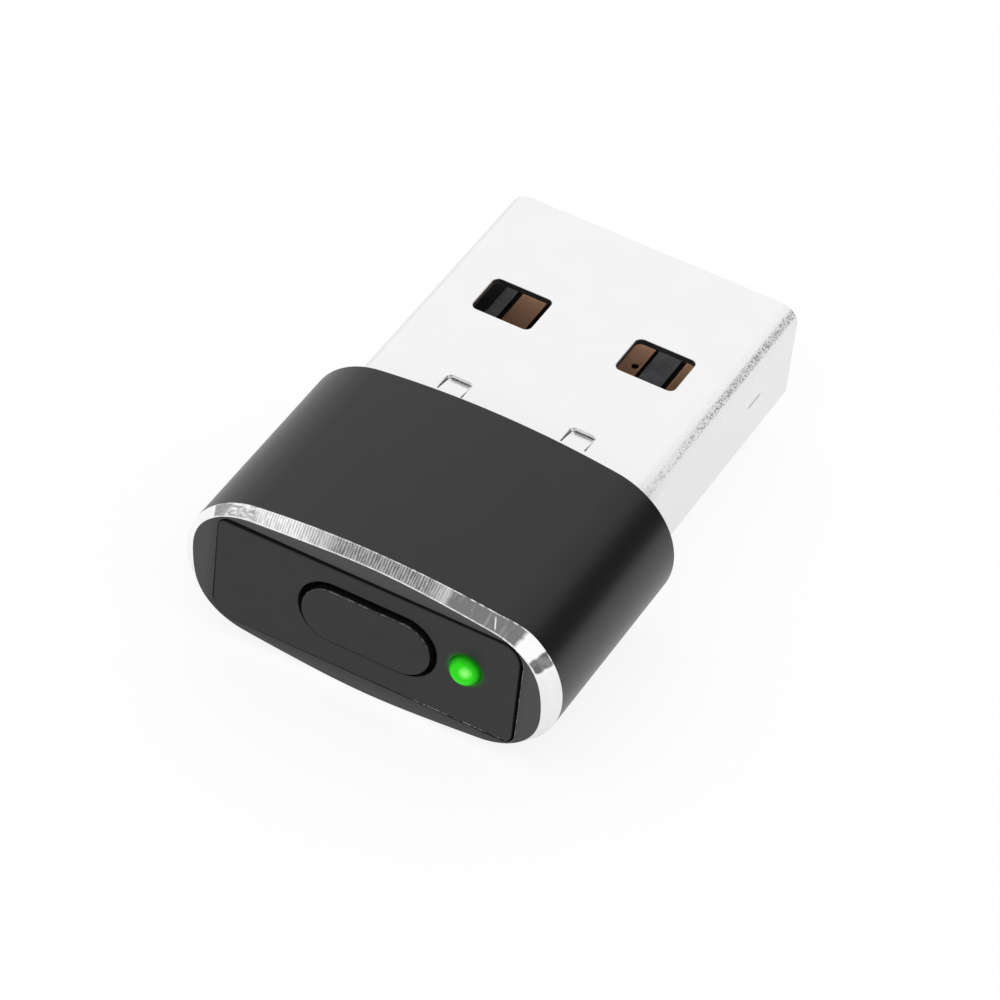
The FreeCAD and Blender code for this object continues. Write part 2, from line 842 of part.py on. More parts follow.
def make_switch_base():
    body = new_body("switch_base")
    block = front_sketch(body, switch_rear)
    rectangle(block, switch_left, switch_right, board_top, board_top + S["switch_height"])
    pad(body, block, S["switch_depth"])
    cavity = front_sketch(body, switch_front)
    centred_rectangle(cavity, button_offset, button_lift, S["cavity_width"], S["cavity_height"])
    pocket(body, cavity, S["cavity_depth"])
    return body


def make_switch_cover():
    """A folded sheet: a face plate with the plunger's slot, and a skirt back along each side."""
    body = new_body("switch_cover")
    wall = S["cover_sheet"]
    low, high = board_top + wall / 2, board_top + S["switch_height"]
    skirts = front_sketch(body, switch_front + S["cover_skirt"])
    rectangle(skirts, switch_left - wall, switch_left, low, high)
    rectangle(skirts, switch_right, switch_right + wall, low, high)
    plate = front_sketch(body, switch_front)
    rectangle(plate, switch_left - wall, switch_right + wall, low, high)
    pad(body, plate, wall)
    pad(body, skirts, S["cover_skirt"] + wall / 2)
    slot = front_sketch(body, cover_face)
    slack = S["plunger_clearance"] * 2
    centred_rectangle(slot, button_offset, button_lift, S["plunger_width"] + slack,
                      S["plunger_height"] + slack)
    pocket(body, slot, wall)
    return body


def make_switch_plunger():
    """The plunger, held in by a collar behind the cover's face plate, with a nub that meets the dome."""
    body = new_body("switch_plunger")
    across, up = button_offset, button_lift
    collar_front = switch_front + S["rest_gap"]
    collar_back = collar_front + S["plunger_collar"]
    stem = front_sketch(body, collar_front)
    centred_rectangle(stem, across, up, S["plunger_width"], S["plunger_height"])
    pad(body, stem, collar_front - plunger_tip)
    collar = front_sketch(body, collar_back)
    slack = S["plunger_clearance"] * 2
    centred_rectangle(collar, across, up, S["cavity_width"] - slack, S["cavity_height"] - slack)
    pad(body, collar, S["plunger_collar"])
    nub_back = dome_apex - S["rest_gap"]
    nub = front_sketch(body, nub_back)
    centred_rectangle(nub, across, up, S["nub_width"], S["nub_height"])
    pad(body, nub, nub_back - collar_back)
    return body


def make_switch_dome():
    """The snap dome: a thin arched leaf that bears on the cavity's rear wall by its two ends."""
    body = new_body("switch_dome")
    up = button_lift
    height = S["cavity_height"] - S["plunger_clearance"] * 2
    leaf = plan_sketch(body, up - height / 2)
    wall = S["dome_sheet"]
    half = S["cavity_width"] / 2 - S["plunger_clearance"]
    left, right = button_offset - half, button_offset + half
    shoulder = half / 3
    foot = cavity_rear
    apex = dome_apex
    knee = apex + dome_rise / 4
    flat_left, flat_right = button_offset - shoulder, button_offset + shoulder
    mid_left, mid_right = button_offset - shoulder * 2, button_offset + shoulder * 2
    polygon(leaf, [
        (left, foot), (left, foot - wall), (mid_left, knee), (flat_left, apex), (flat_right, apex),
        (mid_right, knee), (right, foot - wall), (right, foot), (right - wall, foot),
        (mid_right - wall / 2, knee + wall), (flat_right, apex + wall), (flat_left, apex + wall),
        (mid_left + wall / 2, knee + wall), (left + wall, foot)])
    pad(body, leaf, height)
    return body


def make_switch_terminals():
    wall = S["cover_sheet"]
    solids = []
    for side, across in (("left", -S["terminal_spacing"] / 2), ("right", S["terminal_spacing"] / 2)):
        left = button_offset + across - S["terminal_width"] / 2
        right = button_offset + across + S["terminal_width"] / 2
        foot = box(f"terminal_foot_{side}", left, right, switch_rear, switch_rear + S["terminal_foot"],
                   board_top, board_top + wall)
        riser = box(f"terminal_riser_{side}", left, right, switch_rear, switch_rear + wall,
                    board_top, board_top + S["terminal_rise"])
        joined = doc.addObject("Part::Fuse", f"terminal_{side}")
        joined.Base = foot
        joined.Tool = riser
        solids.append(joined)
    return group("switch_terminals", solids)


# ---- chips ----------------------------------------------------------------------------------------------

chip_top = board_base - S["chip_standoff"]
chip_base = floor_top + S["chip_floor_gap"]


def make_microcontroller():
    left = S["chip_offset"] - S["chip_side"] / 2
    near = -S["chip_reach"] - S["chip_side"] / 2
    return box("microcontroller", left, left + S["chip_side"], near, near + S["chip_side"],
               chip_base, chip_top)


def make_microcontroller_pads():
    pads = []
    half_side = S["chip_side"] / 2
    half_width = S["pad_width"] / 2
    for index in range(PADS_A_SIDE):
        along = S["pad_pitch"] * (index - (PADS_A_SIDE - 1) / 2)
        for sign in (-1, 1):
            edge = half_side * sign
            inner = edge - S["pad_length"] * sign
            low_edge, high_edge = (edge, inner) if sign < 0 else (inner, edge)
            x, y = S["chip_offset"], -S["chip_reach"]
            pads.append(box(f"pad_row_{index}_{sign + 1}", x + along - half_width, x + along + half_width,
                            y + low_edge, y + high_edge, chip_top, board_base))
            pads.append(box(f"pad_column_{index}_{sign + 1}", x + low_edge, x + high_edge,
                            y + along - half_width, y + along + half_width, chip_top, board_base))
    return group("microcontroller_pads", pads)


def passive(name, across, reach, width, length, height):
    """A chip part along Y: its body, and its two end caps."""
    left, right = across - width / 2, across + width / 2
    near, far = -reach - length / 2, -reach + length / 2
    top = board_top + height
    cap = S["end_cap"]
    middle = box(name, left, right, near + cap, far - cap, board_top, top)
    caps = [box(name + "_cap_near", left, right, near, near + cap, board_top, top),
            box(name + "_cap_far", left, right, far - cap, far, board_top, top)]
    return middle, caps


def make_passives():
    capacitors, resistors, end_caps = [], [], []
    first_row = S["passive_gap"] + S["capacitor_length"] / 2 - solder_end
    for index in range(2):
        reach = first_row + S["capacitor_spacing"] * index
        body, caps = passive(f"capacitor_{index}", S["capacitor_margin"] - case_half_width, reach,
                             S["capacitor_width"], S["capacitor_length"], S["capacitor_height"])
        capacitors.append(body)
        end_caps += caps
    for index, (column, row) in enumerate(((0, 0), (1, 0), (0, 1))):
        reach = first_row + S["resistor_rows"] * row
        across = case_half_width - S["resistor_margin"] + S["resistor_spacing"] * column
        body, caps = passive(f"resistor_{index}", across, reach, S["resistor_width"],
                             S["resistor_length"], S["resistor_height"])
        resistors.append(body)
        end_caps += caps
    return [group("chip_capacitors", capacitors), group("chip_resistors", resistors),
            group("chip_end_caps", end_caps)]


# ---- build, check and write -----------------------------------------------------------------------------

nodes = [
    make_sleeve(), make_plug_shell(), make_plug_insulator(), *make_contacts(), make_solder_joints(),
    make_housing(), make_housing_cover(), make_circuit_board(), make_button(), make_led_lens(),
    make_led_package(), make_led_terminals(), make_switch_base(), make_switch_cover(),
    make_switch_plunger(), make_switch_dome(), make_switch_terminals(), make_microcontroller(),
    make_microcontroller_pads(), *make_passives(),
]
doc.recompute()

for item in doc.Objects:
    if "Invalid" in item.State or "Error" in item.State:
        raise RuntimeError(f"{item.Name} failed: {item.State}")
    if item.TypeId in ("PartDesign::Pad", "PartDesign::Pocket") and item.BaseFeature:
        change = item.Shape.Volume - item.BaseFeature.Shape.Volume
        if change * (1 if item.TypeId == "PartDesign::Pad" else -1) < 1e-6:
            raise RuntimeError(f"{item.Name} changes nothing")

for node in nodes:
    if node.Shape.isNull() or not node.Shape.isValid():
        raise RuntimeError(f"{node.Label} has no valid shape")
    node.Shape.exportStep(f"parts/{node.Label}.step")
    print(f"{node.Label}: {len(node.Shape.Solids)} solid(s), {node.Shape.Volume:.3f} mm3")
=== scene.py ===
import json
import math
import bmesh
import bpy
from mathutils import Matrix, Vector
from mathutils.geometry import tessellate_polygon

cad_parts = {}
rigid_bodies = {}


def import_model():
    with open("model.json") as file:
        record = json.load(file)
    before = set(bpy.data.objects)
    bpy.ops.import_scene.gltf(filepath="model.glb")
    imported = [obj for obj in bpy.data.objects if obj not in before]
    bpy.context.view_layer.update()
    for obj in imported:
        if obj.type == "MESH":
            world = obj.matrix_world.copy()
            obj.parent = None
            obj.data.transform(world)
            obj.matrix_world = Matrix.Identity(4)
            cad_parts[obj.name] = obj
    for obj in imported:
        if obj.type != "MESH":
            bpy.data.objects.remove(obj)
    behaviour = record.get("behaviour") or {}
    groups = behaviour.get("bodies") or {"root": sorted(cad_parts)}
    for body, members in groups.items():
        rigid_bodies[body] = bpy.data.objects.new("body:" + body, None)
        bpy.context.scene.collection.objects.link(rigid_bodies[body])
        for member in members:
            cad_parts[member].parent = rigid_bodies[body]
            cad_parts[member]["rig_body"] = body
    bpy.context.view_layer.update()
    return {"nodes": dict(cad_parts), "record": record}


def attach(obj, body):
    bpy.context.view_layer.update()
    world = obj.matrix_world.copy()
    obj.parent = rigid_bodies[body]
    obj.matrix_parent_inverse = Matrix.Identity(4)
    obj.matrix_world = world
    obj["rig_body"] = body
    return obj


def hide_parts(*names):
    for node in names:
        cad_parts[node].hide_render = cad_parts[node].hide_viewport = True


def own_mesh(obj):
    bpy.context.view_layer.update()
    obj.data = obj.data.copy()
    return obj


# A short USB-A dongle dressed for rendering. Lengths below are in millimetres unless a name says otherwise.
# X runs to the right across the button face, Y the way the plug goes in, Z up.

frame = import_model()
NODES = frame["nodes"]
# One millimetre in the scene's own unit, the metre.
MM = 0.001
# Lengths below the first count as nothing. Points that round to the same step of the second are one vertex.
TINY, GRID = 1e-6, 0.00005

SLEEVE = {"width": 14.8, "height": 6.68, "length": 9.04, "crown": 34.0}
# The rim's mean width and depth, and how much deeper it is at the right end.
RIM = {"width": 0.413, "depth": 0.4, "deeper": 0.2}
# The waves of its width round the face: how many there are, and their cosine and sine parts.
RIM_WAVES = ((1, 0.022, -0.002), (2, -0.005, 0.073), (4, 0.026, 0.029), (5, -0.01, -0.001), (6, 0.043, 0.002))
# Corner radii run from the top right one over the top left and bottom left ones to the bottom right one.
BORE = {"width": 12.06, "height": 4.56, "radii": (0.85, 0.5, 0.8, 0.45)}
PLUG = {"width": 12.0, "height": 4.5, "reach": 12.4, "tail": 2.2, "sheet": 0.3, "bend": 0.78,
        "tip_round": 0.1}
TAB = {"across": 2.5, "half": 0.46, "gap": 0.04, "hinge": 1.1, "end": 1.96, "drop": 0.15, "curve": 0.2}
WINDOW = {"across": 2.95, "along": 6.67, "width": 2.4, "length": 2.0, "corner": 0.25}
SLIT = {"up": 0.19, "along": 9.15, "width": 0.08, "length": 1.05, "corner": 0.039}
PANEL = {"across": -0.03, "width": 11.94, "height": 4.38, "radii": (0.75, 0.27, 0.7, 0.3), "turn": 0.35,
         "face": -9.1, "lip": -8.65}
CASE = {"radii": (0.8, 0.47, 0.75, 0.42), "wall_back": -8.3, "rear": -2.25}
BUTTON = {"across": 0.085, "up": 0.115, "width": 5.09, "height": 2.28, "face": -9.26, "fillet": 0.08}
LENS = {"across": 3.95, "up": 0.31, "radius": 0.585, "shoulder": -9.22, "dome": 0.34}
# The flanges of the button and the light pipe start just behind the panel's wall.
FLANGE_FRONT = -8.28


# ---- shapes ---------------------------------------------------------------------------------------------

# An outline is a list of rims, each of them a point (a, b) of a flat drawing and its outward normal (na, nb).

class Shape:
    """Faces gathered in millimetres, each with its corner normals, and then made into one mesh."""

    def __init__(self):
        self.points = []
        self.lookup = {}
        self.faces = []

    def vertex(self, point):
        key = tuple(round(c / GRID) for c in point)
        if key not in self.lookup:
            self.lookup[key] = len(self.points)
            self.points.append(Vector(point))
        return self.lookup[key]

    def face(self, corners, normals, finish=0, uvs=None):
        """Add a face, turned over if it looks against its normals, and left out if it has no width."""
        ids = [self.vertex(p) for p in corners]
        kept = [k for k in range(len(ids)) if ids[k] != ids[k - 1]]
        if len(set(ids[k] for k in kept)) < 3:
            return
        uvs = uvs or [(0.0, 0.0)] * len(ids)
        rows = [(ids[k], normals[k], uvs[k]) for k in kept]
        area = Vector((0, 0, 0))
        for here, after in zip(rows, rows[1:] + rows[:1]):
            area += self.points[here[0]].cross(self.points[after[0]])
        if area.dot(sum((r[1] for r in rows), Vector((0, 0, 0)))) < 0:
            rows.reverse()
        self.faces.append((rows, finish))

    def mesh(self, name):
        mesh = bpy.data.meshes.new(name)
        mesh.from_pydata([p * MM for p in self.points], [], [[r[0] for r in rows] for rows, _ in self.faces])
        uv = mesh.uv_layers.new(name="UVMap")
        normals = []
        for polygon, (rows, finish) in zip(mesh.polygons, self.faces):
            polygon.material_index = finish
            polygon.use_smooth = True
            for loop, row in zip(polygon.loop_indices, rows):
                uv.data[loop].uv = row[2]
                normals.append(row[1].normalized())
        mesh.normals_split_custom_set(normals)
        return mesh


class Place:
    """Where a flat outline's two directions and the level across it lie in space."""

    def __init__(self, across, up, level, origin=(0, 0, 0)):
        self.across, self.up, self.level = Vector(across), Vector(up), Vector(level)
        self.origin = Vector(origin)

    def at(self, rim, inset, level):
        a, b, na, nb = rim
        return self.origin + self.across * (a - na * inset) + self.up * (b - nb * inset) + self.level * level

    def lean(self, rim, angle):
        outward = self.across * rim[2] + self.up * rim[3]
        return outward * math.cos(angle) + self.level * math.sin(angle)


# On the front an outline stands upright and its level runs back along Y. Flat it lies down.
FRONT = Place((1, 0, 0), (0, 0, 1), (0, 1, 0))
FLAT = Place((1, 0, 0), (0, 1, 0), (0, 0, 1))
QUARTER = math.pi / 2


def arc(a, b, radius, start, end, steps):
    """Points of an arc about a centre, each with its outward normal."""
    rims = []
    for k in range(steps + 1):
        angle = start + (end - start) * k / steps
        c, s = math.cos(angle), math.sin(angle)
        rims.append((a + radius * c, b + radius * s, c, s))
    return rims


def tidy(rims):
    """Leave out a point that repeats the one before it with the same normal."""
    return [r for k, r in enumerate(rims) if max(abs(x - y) for x, y in zip(r, rims[k - 1])) > TINY]


def rounded_box(a, b, width, height, radii, steps=14):
    """A rectangle with its four corners rounded, from the top right one round to the bottom right one."""
    rims = []
    for turn, (sa, sb) in enumerate(((1, 1), (-1, 1), (-1, -1), (1, -1))):
        radius = radii[turn] if isinstance(radii, tuple) else radii
        centre = a + sa * (width / 2 - radius), b + sb * (height / 2 - radius)
        rims += arc(*centre, radius, turn * QUARTER, (turn + 1) * QUARTER, steps)
    return tidy(rims)


def turned(rims, degrees):
    """An outline turned about the middle of the frame."""
    c, s = math.cos(math.radians(degrees)), math.sin(math.radians(degrees))
    return [(a * c - b * s, a * s + b * c, na * c - nb * s, na * s + nb * c) for a, b, na, nb in rims]


def circle(a, b, radius, steps=64):
    return arc(a, b, radius, 0, 4 * QUARTER, steps)[:-1]


def oval(width, height, crown, steps=56):
    """A gently crowned top and bottom joined by round ends."""
    half_w, half_h = width / 2, height / 2
    end = (2 * crown * half_h - half_w**2 - half_h**2) / (2 * (crown - half_w))
    end_centre, crown_centre = half_w - end, half_h - crown
    joint = math.atan2(-crown_centre, end_centre)
    rims = arc(end_centre, 0, end, -joint, joint, steps)
    rims += arc(0, crown_centre, crown, joint, math.pi - joint, steps)
    rims += arc(-end_centre, 0, end, math.pi - joint, math.pi + joint, steps)
    rims += arc(0, -crown_centre, crown, math.pi + joint, 2 * math.pi - joint, steps)
    return tidy(rims)


def hollow(rims):
    """The same outline as the edge of a hole, so that its normals look into the hole."""
    return [(a, b, -na, -nb) for a, b, na, nb in rims]


def sharp(corners):
    """An outline of straight lines with a normal of its own for each."""
    rims = []
    for (a0, b0), (a1, b1) in zip(corners, corners[1:] + corners[:1]):
        length = math.hypot(a1 - a0, b1 - b0)
        normal = ((b1 - b0) / length, (a0 - a1) / length)
        rims += [(a0, b0, *normal), (a1, b1, *normal)]
    return rims


def rounded_corners(corners, radii, steps=3, least=math.radians(12)):
    """A closed outline whose corners are rounded, each by its radius, where they turn more than a little."""
    rims = []
    count = len(corners)
    for k, radius in enumerate(radii):
        before, here, after = (Vector(corners[j % count]) for j in (k - 1, k, k + 1))
        come, go = (here - before).normalized(), (after - here).normalized()
        turn = math.atan2(come.x * go.y - come.y * go.x, come.dot(go))
        if abs(turn) < least:
            mean = (come + go).normalized()
            rims.append((here.x, here.y, mean.y, -mean.x))
            continue
        side = 1 if turn > 0 else -1
        start = here - come * radius * math.tan(abs(turn) / 2)
        centre = start + Vector((-come.y, come.x)) * radius * side
        first = math.atan2(-come.x * side, come.y * side)
        for j in range(steps + 1):
            angle = first + turn * j / steps
            c, s = math.cos(angle), math.sin(angle)
            rims.append((centre.x + radius * c, centre.y + radius * s, c * side, s * side))
    return rims


def bend(inset, level, radius, start, end, steps=4):
    """Profile rows round an edge: inset, level and lean of the normal, about this centre."""
    rows = []
    for k in range(steps + 1):
        angle = start + (end - start) * k / steps
        rows.append((inset - radius * math.cos(angle), level + radius * math.sin(angle), angle))
    return rows


def sweep(shape, outline, profile, place, finish=0):
    """Carry a profile of inset, level and lean round an outline.

    The profile and the finish may each be a function of the rim.
    """
    rows = [profile(rim) if callable(profile) else profile for rim in outline]
    lengths = [0.0]
    for here, after in zip(outline, outline[1:] + outline[:1]):
        lengths.append(lengths[-1] + math.hypot(after[0] - here[0], after[1] - here[1]))
    steps = [math.hypot(d1 - d0, l1 - l0) for (d0, l0, _), (d1, l1, _) in zip(rows[0], rows[0][1:])]
    v0 = 0.0
    for j, step in enumerate(steps):
        v1 = v0 + step / sum(steps)
        for k, here in enumerate(outline):
            if step < TINY:
                break
            follow = (k + 1) % len(outline)
            after = outline[follow]
            (d0, l0, t0), (d1, l1, t1) = rows[k][j:j + 2]
            (e0, m0, u0), (e1, m1, u1) = rows[follow][j:j + 2]
            corners = [place.at(here, d0, l0), place.at(after, e0, m0), place.at(after, e1, m1),
                       place.at(here, d1, l1)]
            normals = [place.lean(here, t0), place.lean(after, u0), place.lean(after, u1),
                       place.lean(here, t1)]
            s0, s1 = lengths[k], lengths[k + 1]
            kind = finish(here) if callable(finish) else finish
            shape.face(corners, normals, kind, [(s0, v0), (s1, v0), (s1, v1), (s0, v1)])
        v0 = v1


def cap(shape, loops, level, place, facing, finish=0):
    """A flat face with holes: the first loop is its edge. Each loop is an outline and an inset."""
    rings = []
    for outline, inset in loops:
        ring = []
        for a, b, na, nb in outline:
            point = Vector((a - na * inset, b - nb * inset, 0))
            if not ring or (point - ring[-1]).length > TINY:
                ring.append(point)
        if (ring[0] - ring[-1]).length < TINY:
            ring.pop()
        rings.append(ring)
    flat = [p for ring in rings for p in ring]
    normal = place.level * facing
    for corners in tessellate_polygon(rings):
        points = [place.origin + place.across * flat[c].x + place.up * flat[c].y + place.level * level
                  for c in corners]
        shape.face(points, [normal] * 3, finish, [(flat[c].x, flat[c].y) for c in corners])


def plate(shape, outline, holes, low, high, edge, place):
    """A flat plate with rounded edges. Each hole is an outline, its edge's radius and its wall's finish."""
    loops = [(outline, edge, 0), *holes]
    for loop, radius, finish in loops:
        upper = bend(radius, high - radius, radius, 0, QUARTER)
        lower = bend(radius, low + radius, radius, -QUARTER, 0)
        sweep(shape, loop, lower + upper[:1], place, finish)
        sweep(shape, loop, upper, place)
    insets = [(loop, radius) for loop, radius, _ in loops]
    # The lower face takes the second material: on the plug's shell, its inside in painted shade.
    cap(shape, insets, low, place, -1, finish=1)
    cap(shape, insets, high, place, 1)


# ---- materials ------------------------------------------------------------------------------------------

def grey(level):
    return level, level, level * 1.01


def shade(colour, factor):
    return tuple(c * factor for c in colour)


class Paint:
    """A material whose shader takes its detail from procedural textures."""

    def __init__(self, name, colour, roughness, metallic=0.0, shine=0.5):
        self.material = bpy.data.materials.new(name)
        self.material.use_nodes = True
        self.tree = self.material.node_tree
        self.shader = self.tree.nodes["Principled BSDF"]
        self.set(self.shader, {"Base Color": (*colour, 1), "Roughness": roughness, "Metallic": metallic,
                               "Specular IOR Level": shine})
        self.height = None

    def set(self, node, values):
        for name, value in values.items():
            node.inputs[name].default_value = value

    def node(self, kind, values=None, **settings):
        node = self.tree.nodes.new("ShaderNode" + kind)
        for name, value in settings.items():
            setattr(node, name, value)
        self.set(node, values or {})
        return node

    def link(self, source, target):
        self.tree.links.new(source, target)

    def coordinates(self, kind="Object", scale=(1, 1, 1)):
        """Object coordinates in millimetres, or the mesh's own UV map, stretched by a scale."""
        source = self.node("TexCoord")
        mapping = self.node("Mapping")
        unit = 1000.0 if kind == "Object" else 1.0
        mapping.inputs["Scale"].default_value = [unit * s for s in scale]
        self.link(source.outputs[kind], mapping.inputs["Vector"])
        return mapping.outputs["Vector"]

    def noise(self, scale, detail=3.0, roughness=0.55, kind="Object", stretch=(1, 1, 1)):
        node = self.node("TexNoise", {"Scale": scale, "Detail": detail, "Roughness": roughness})
        self.link(self.coordinates(kind, stretch), node.inputs["Vector"])
        return node.outputs["Fac"]

    def axes(self, kind="Object"):
        """The coordinates one by one, under the names X, Y and Z."""
        node = self.node("SeparateXYZ")
        self.link(self.coordinates(kind), node.inputs["Vector"])
        return node.outputs

    def distance(self, place, stretch=(1, 1, 1)):
        """Distance in millimetres from a place of the object. A stretch of 0 leaves an axis out."""
        node = self.node("VectorMath", operation="DISTANCE")
        node.inputs[1].default_value = place
        self.link(self.coordinates("Object", stretch), node.inputs[0])
        return node.outputs["Value"]

    def ramp(self, value, low, high, to_low=0.0, to_high=1.0):
        node = self.node("MapRange", {"From Min": low, "From Max": high, "To Min": to_low, "To Max": to_high})
        self.link(value, node.inputs["Value"])
        return node.outputs["Result"]

    def band(self, value, low, high, soft):
        """1 where a value lies between two limits, with soft ends."""
        rise = self.ramp(value, low - soft, low + soft)
        fall = self.ramp(value, high - soft, high + soft, 1.0, 0.0)
        return self.math("MULTIPLY", rise, fall)

    def math(self, operation, first, second):
        node = self.node("Math", operation=operation)
        for k, value in enumerate((first, second)):
            if isinstance(value, float):
                node.inputs[k].default_value = value
            else:
                self.link(value, node.inputs[k])
        return node.outputs["Value"]

    def blend(self, factor, first, second):
        """Colour that goes from the first to the second as the factor goes from 0 to 1."""
        node = self.node("Mix", data_type="RGBA")
        self.link(factor, node.inputs["Factor"])
        for name, colour in (("A", first), ("B", second)):
            socket = next(i for i in node.inputs if i.name == name and i.type == "RGBA")
            if isinstance(colour, tuple):
                socket.default_value = (*colour, 1)
            else:
                self.link(colour, socket)
        return next(o for o in node.outputs if o.type == "RGBA")

    def clouds(self, scale, first, second, detail=2.0, limits=(0.3, 0.7)):
        """Colour that drifts from the first to the second in soft clouds."""
        return self.blend(self.ramp(self.noise(scale, detail), *limits), first, second)

    def colour_from(self, socket):
        self.link(socket, self.shader.inputs["Base Color"])

    def vary(self, name, value, low, high, start=0.0, end=1.0):
        """Let a number of the shader go from low to high as a value goes from start to end."""
        self.link(self.ramp(value, start, end, low, high), self.shader.inputs[name])

    def glow(self, colour):
        """Light that the surface gives off, in a colour that differs from place to place."""
        self.link(colour, self.shader.inputs["Emission Color"])
        self.shader.inputs["Emission Strength"].default_value = 1.0

    def bump(self, value, distance):
        """Raise the surface by a height in millimetres where the value is 1."""
        node = self.node("Bump", {"Strength": 1.0, "Distance": distance * MM})
        self.link(value, node.inputs["Height"])
        if self.height is not None:
            self.link(self.height, node.inputs["Normal"])
        self.height = node.outputs["Normal"]
        self.link(self.height, self.shader.inputs["Normal"])


def speckled(name, colour, roughness, scale, depth, metallic=0.0, spread=0.12, shine=0.5):
    """A plain finish with fine grain: colour, gloss and height all vary a little."""
    paint = Paint(name, colour, roughness, metallic, shine)
    grain = paint.noise(scale, 3.0)
    paint.colour_from(paint.clouds(scale / 14, shade(colour, 1 - spread), shade(colour, 1 + spread)))
    paint.vary("Roughness", grain, roughness * 0.9, roughness * 1.12, 0.3, 0.7)
    paint.bump(grain, depth)
    return paint


def make_anodised():
    """Satin black, with painted shade along the right shoulder and painted light down the right wall."""
    paint = speckled("anodised", grey(0.009), 0.31, 16.0, 0.0012, spread=0.06, shine=0.39)
    across = paint.axes()["X"]
    cloud = paint.clouds(1.1, grey(0.0085), grey(0.0095))
    # Painted shade: darker between X 5.2 and 6.9 mm along the right shoulder.
    shoulder = paint.blend(paint.band(across, 5.2, 6.9, 0.3), cloud, grey(0.0045))
    # Painted light: paler beyond X 6.8 mm down the right wall.
    paint.colour_from(paint.blend(paint.ramp(across, 6.8, 7.4), shoulder, grey(0.036)))
    return paint.material


def make_cut_rim():
    """Diamond-cut aluminium in white, grey and dark stretches of painted reflection, plain, milky, scratched
    or ticked.
    """
    paint = Paint("cut_rim", grey(0.95), 0.16, 1.0)
    axes = paint.axes("UV")
    along, across = axes["X"], axes["Y"]
    leaning = paint.math("ADD", along, paint.math("MULTIPLY", across, 0.3))
    slanting = paint.math("SUBTRACT", along, paint.math("MULTIPLY", across, 0.35))
    jag = paint.ramp(paint.noise(3.0, 2.0, 0.6, "UV", (0.4, 1.2, 1)), 0.3, 0.7, -0.1, 0.1)
    ragged = paint.math("ADD", along, jag)
    rough = paint.math("ADD", along, paint.math("MULTIPLY", jag, 0.35))
    phase = paint.math("MULTIPLY", paint.noise(2.0, 2.0, 0.6, "UV", (1, 0.1, 1)), 9.0)
    wave = paint.math("SINE", paint.math("ADD", paint.math("MULTIPLY", along, 58.0), phase), 0.0)
    fleck = paint.noise(16.0, 2.0, 0.6, "UV", (1, 0.12, 1))
    ticks = paint.ramp(paint.math("ADD", paint.math("MULTIPLY", wave, 0.16), fleck), 0.35, 0.65)
    milk = paint.ramp(paint.noise(2.0, 3.0, 0.65, "UV", (1, 1.6, 1)), 0.42, 0.6)
    scratch = paint.ramp(paint.noise(7.0, 2.0, 0.7, "UV", (1, 0.08, 1)), 0.56, 0.66)
    colour = paint.blend(milk, grey(0.95), grey(0.99))
    # Each layer has a measure along the rim, the millimetres where it starts and ends, how soft its ends are,
    # and its colour: a painted reflection, white, grey or dark, some with ticks, scratches or milk in it.
    layers = (
        (ragged, 17.6, 19.5, 0.08, paint.blend(milk, grey(0.4), grey(0.95))),
        (ragged, 15.4, 17.9, 0.1, paint.blend(ticks, grey(0.56), grey(0.98))),
        (along, 10.3, 15.6, 0.9, paint.blend(ticks, grey(0.15), grey(0.45))),
        (rough, 7.42, 10.4, 0.08, paint.blend(scratch, grey(0.2), grey(0.3))),
        (slanting, 19.06, 25.0, 0.06, paint.blend(milk, grey(0.3), grey(0.44))),
        (along, 19.9, 30.0, 0.03, grey(0.99)),
        (rough, 5.93, 6.5, 0.05, paint.blend(milk, grey(0.13), grey(0.26))),
    )
    for value, low, high, soft, layer in layers:
        colour = paint.blend(paint.band(value, low, high, soft), colour, layer)
    deep_scratch = paint.math("MULTIPLY", paint.band(leaning, 8.66, 8.71, 0.015),
                              paint.band(across, 0.22, 0.8, 0.06))
    colour = paint.blend(deep_scratch, colour, grey(0.9))
    broken = paint.ramp(paint.noise(3.0, 3.0, 0.7, "UV", (1, 0.1, 1)), 0.42, 0.58)
    outer_line = paint.math("MULTIPLY", paint.ramp(across, 0.03, 0.08, 1.0, 0.0), broken)
    inner_line = paint.math("MULTIPLY", paint.ramp(across, 0.9, 0.95), paint.ramp(broken, 0.0, 1.0, 0.6, 1.0))
    paint.colour_from(paint.blend(paint.math("MAXIMUM", outer_line, inner_line), colour, grey(0.95)))
    paint.vary("Roughness", milk, 0.12, 0.22, 0.3, 0.7)
    # The white stretch is painted light: there the rim is hardly metallic, so it shows its own white.
    paint.vary("Metallic", paint.band(along, 20.7, 27.0, 0.7), 1.0, 0.1)
    paint.bump(ticks, 0.002)
    return paint.material


def make_sleeve_face():
    """Satin black with painted shade close to the opening, and paler from a little way off."""
    paint = speckled("sleeve_face", grey(0.031), 0.36, 16.0, 0.0015, spread=0.06)
    axes = paint.axes()
    half_w, half_h, head_start = BORE["width"] / 2, BORE["height"] / 2, 0.15
    away = paint.math("SUBTRACT", axes["X"], half_w - head_start)
    for axis, sign, start in (("X", -1.0, half_w), ("Z", -1.0, half_h), ("Z", 1.0, half_h - head_start)):
        past = paint.math("SUBTRACT", paint.math("MULTIPLY", axes[axis], sign), start)
        away = paint.math("MAXIMUM", away, past)
    # Painted shade: darker within about 0.4 mm of the bore's edge.
    paint.colour_from(paint.blend(paint.ramp(away, 0.0, 0.4), grey(0.015), grey(0.037)))
    return paint.material


def make_glinting_edge(name, dark, pale, shine, limits):
    """An edge that shows small pale marks, painted glints, where it lies within limits along X and Z, in
    millimetres.
    """
    paint = Paint(name, grey(dark), 0.36, shine=shine)
    axes = paint.axes()
    glint = paint.ramp(paint.noise(6.0, 3.0, 0.7), 0.45, 0.58)
    for axis, (low, high) in limits.items():
        glint = paint.math("MULTIPLY", glint, paint.ramp(axes[axis], low, high))
    paint.colour_from(paint.blend(glint, grey(dark), grey(pale)))
    paint.bump(glint, 0.002)
    return paint.material


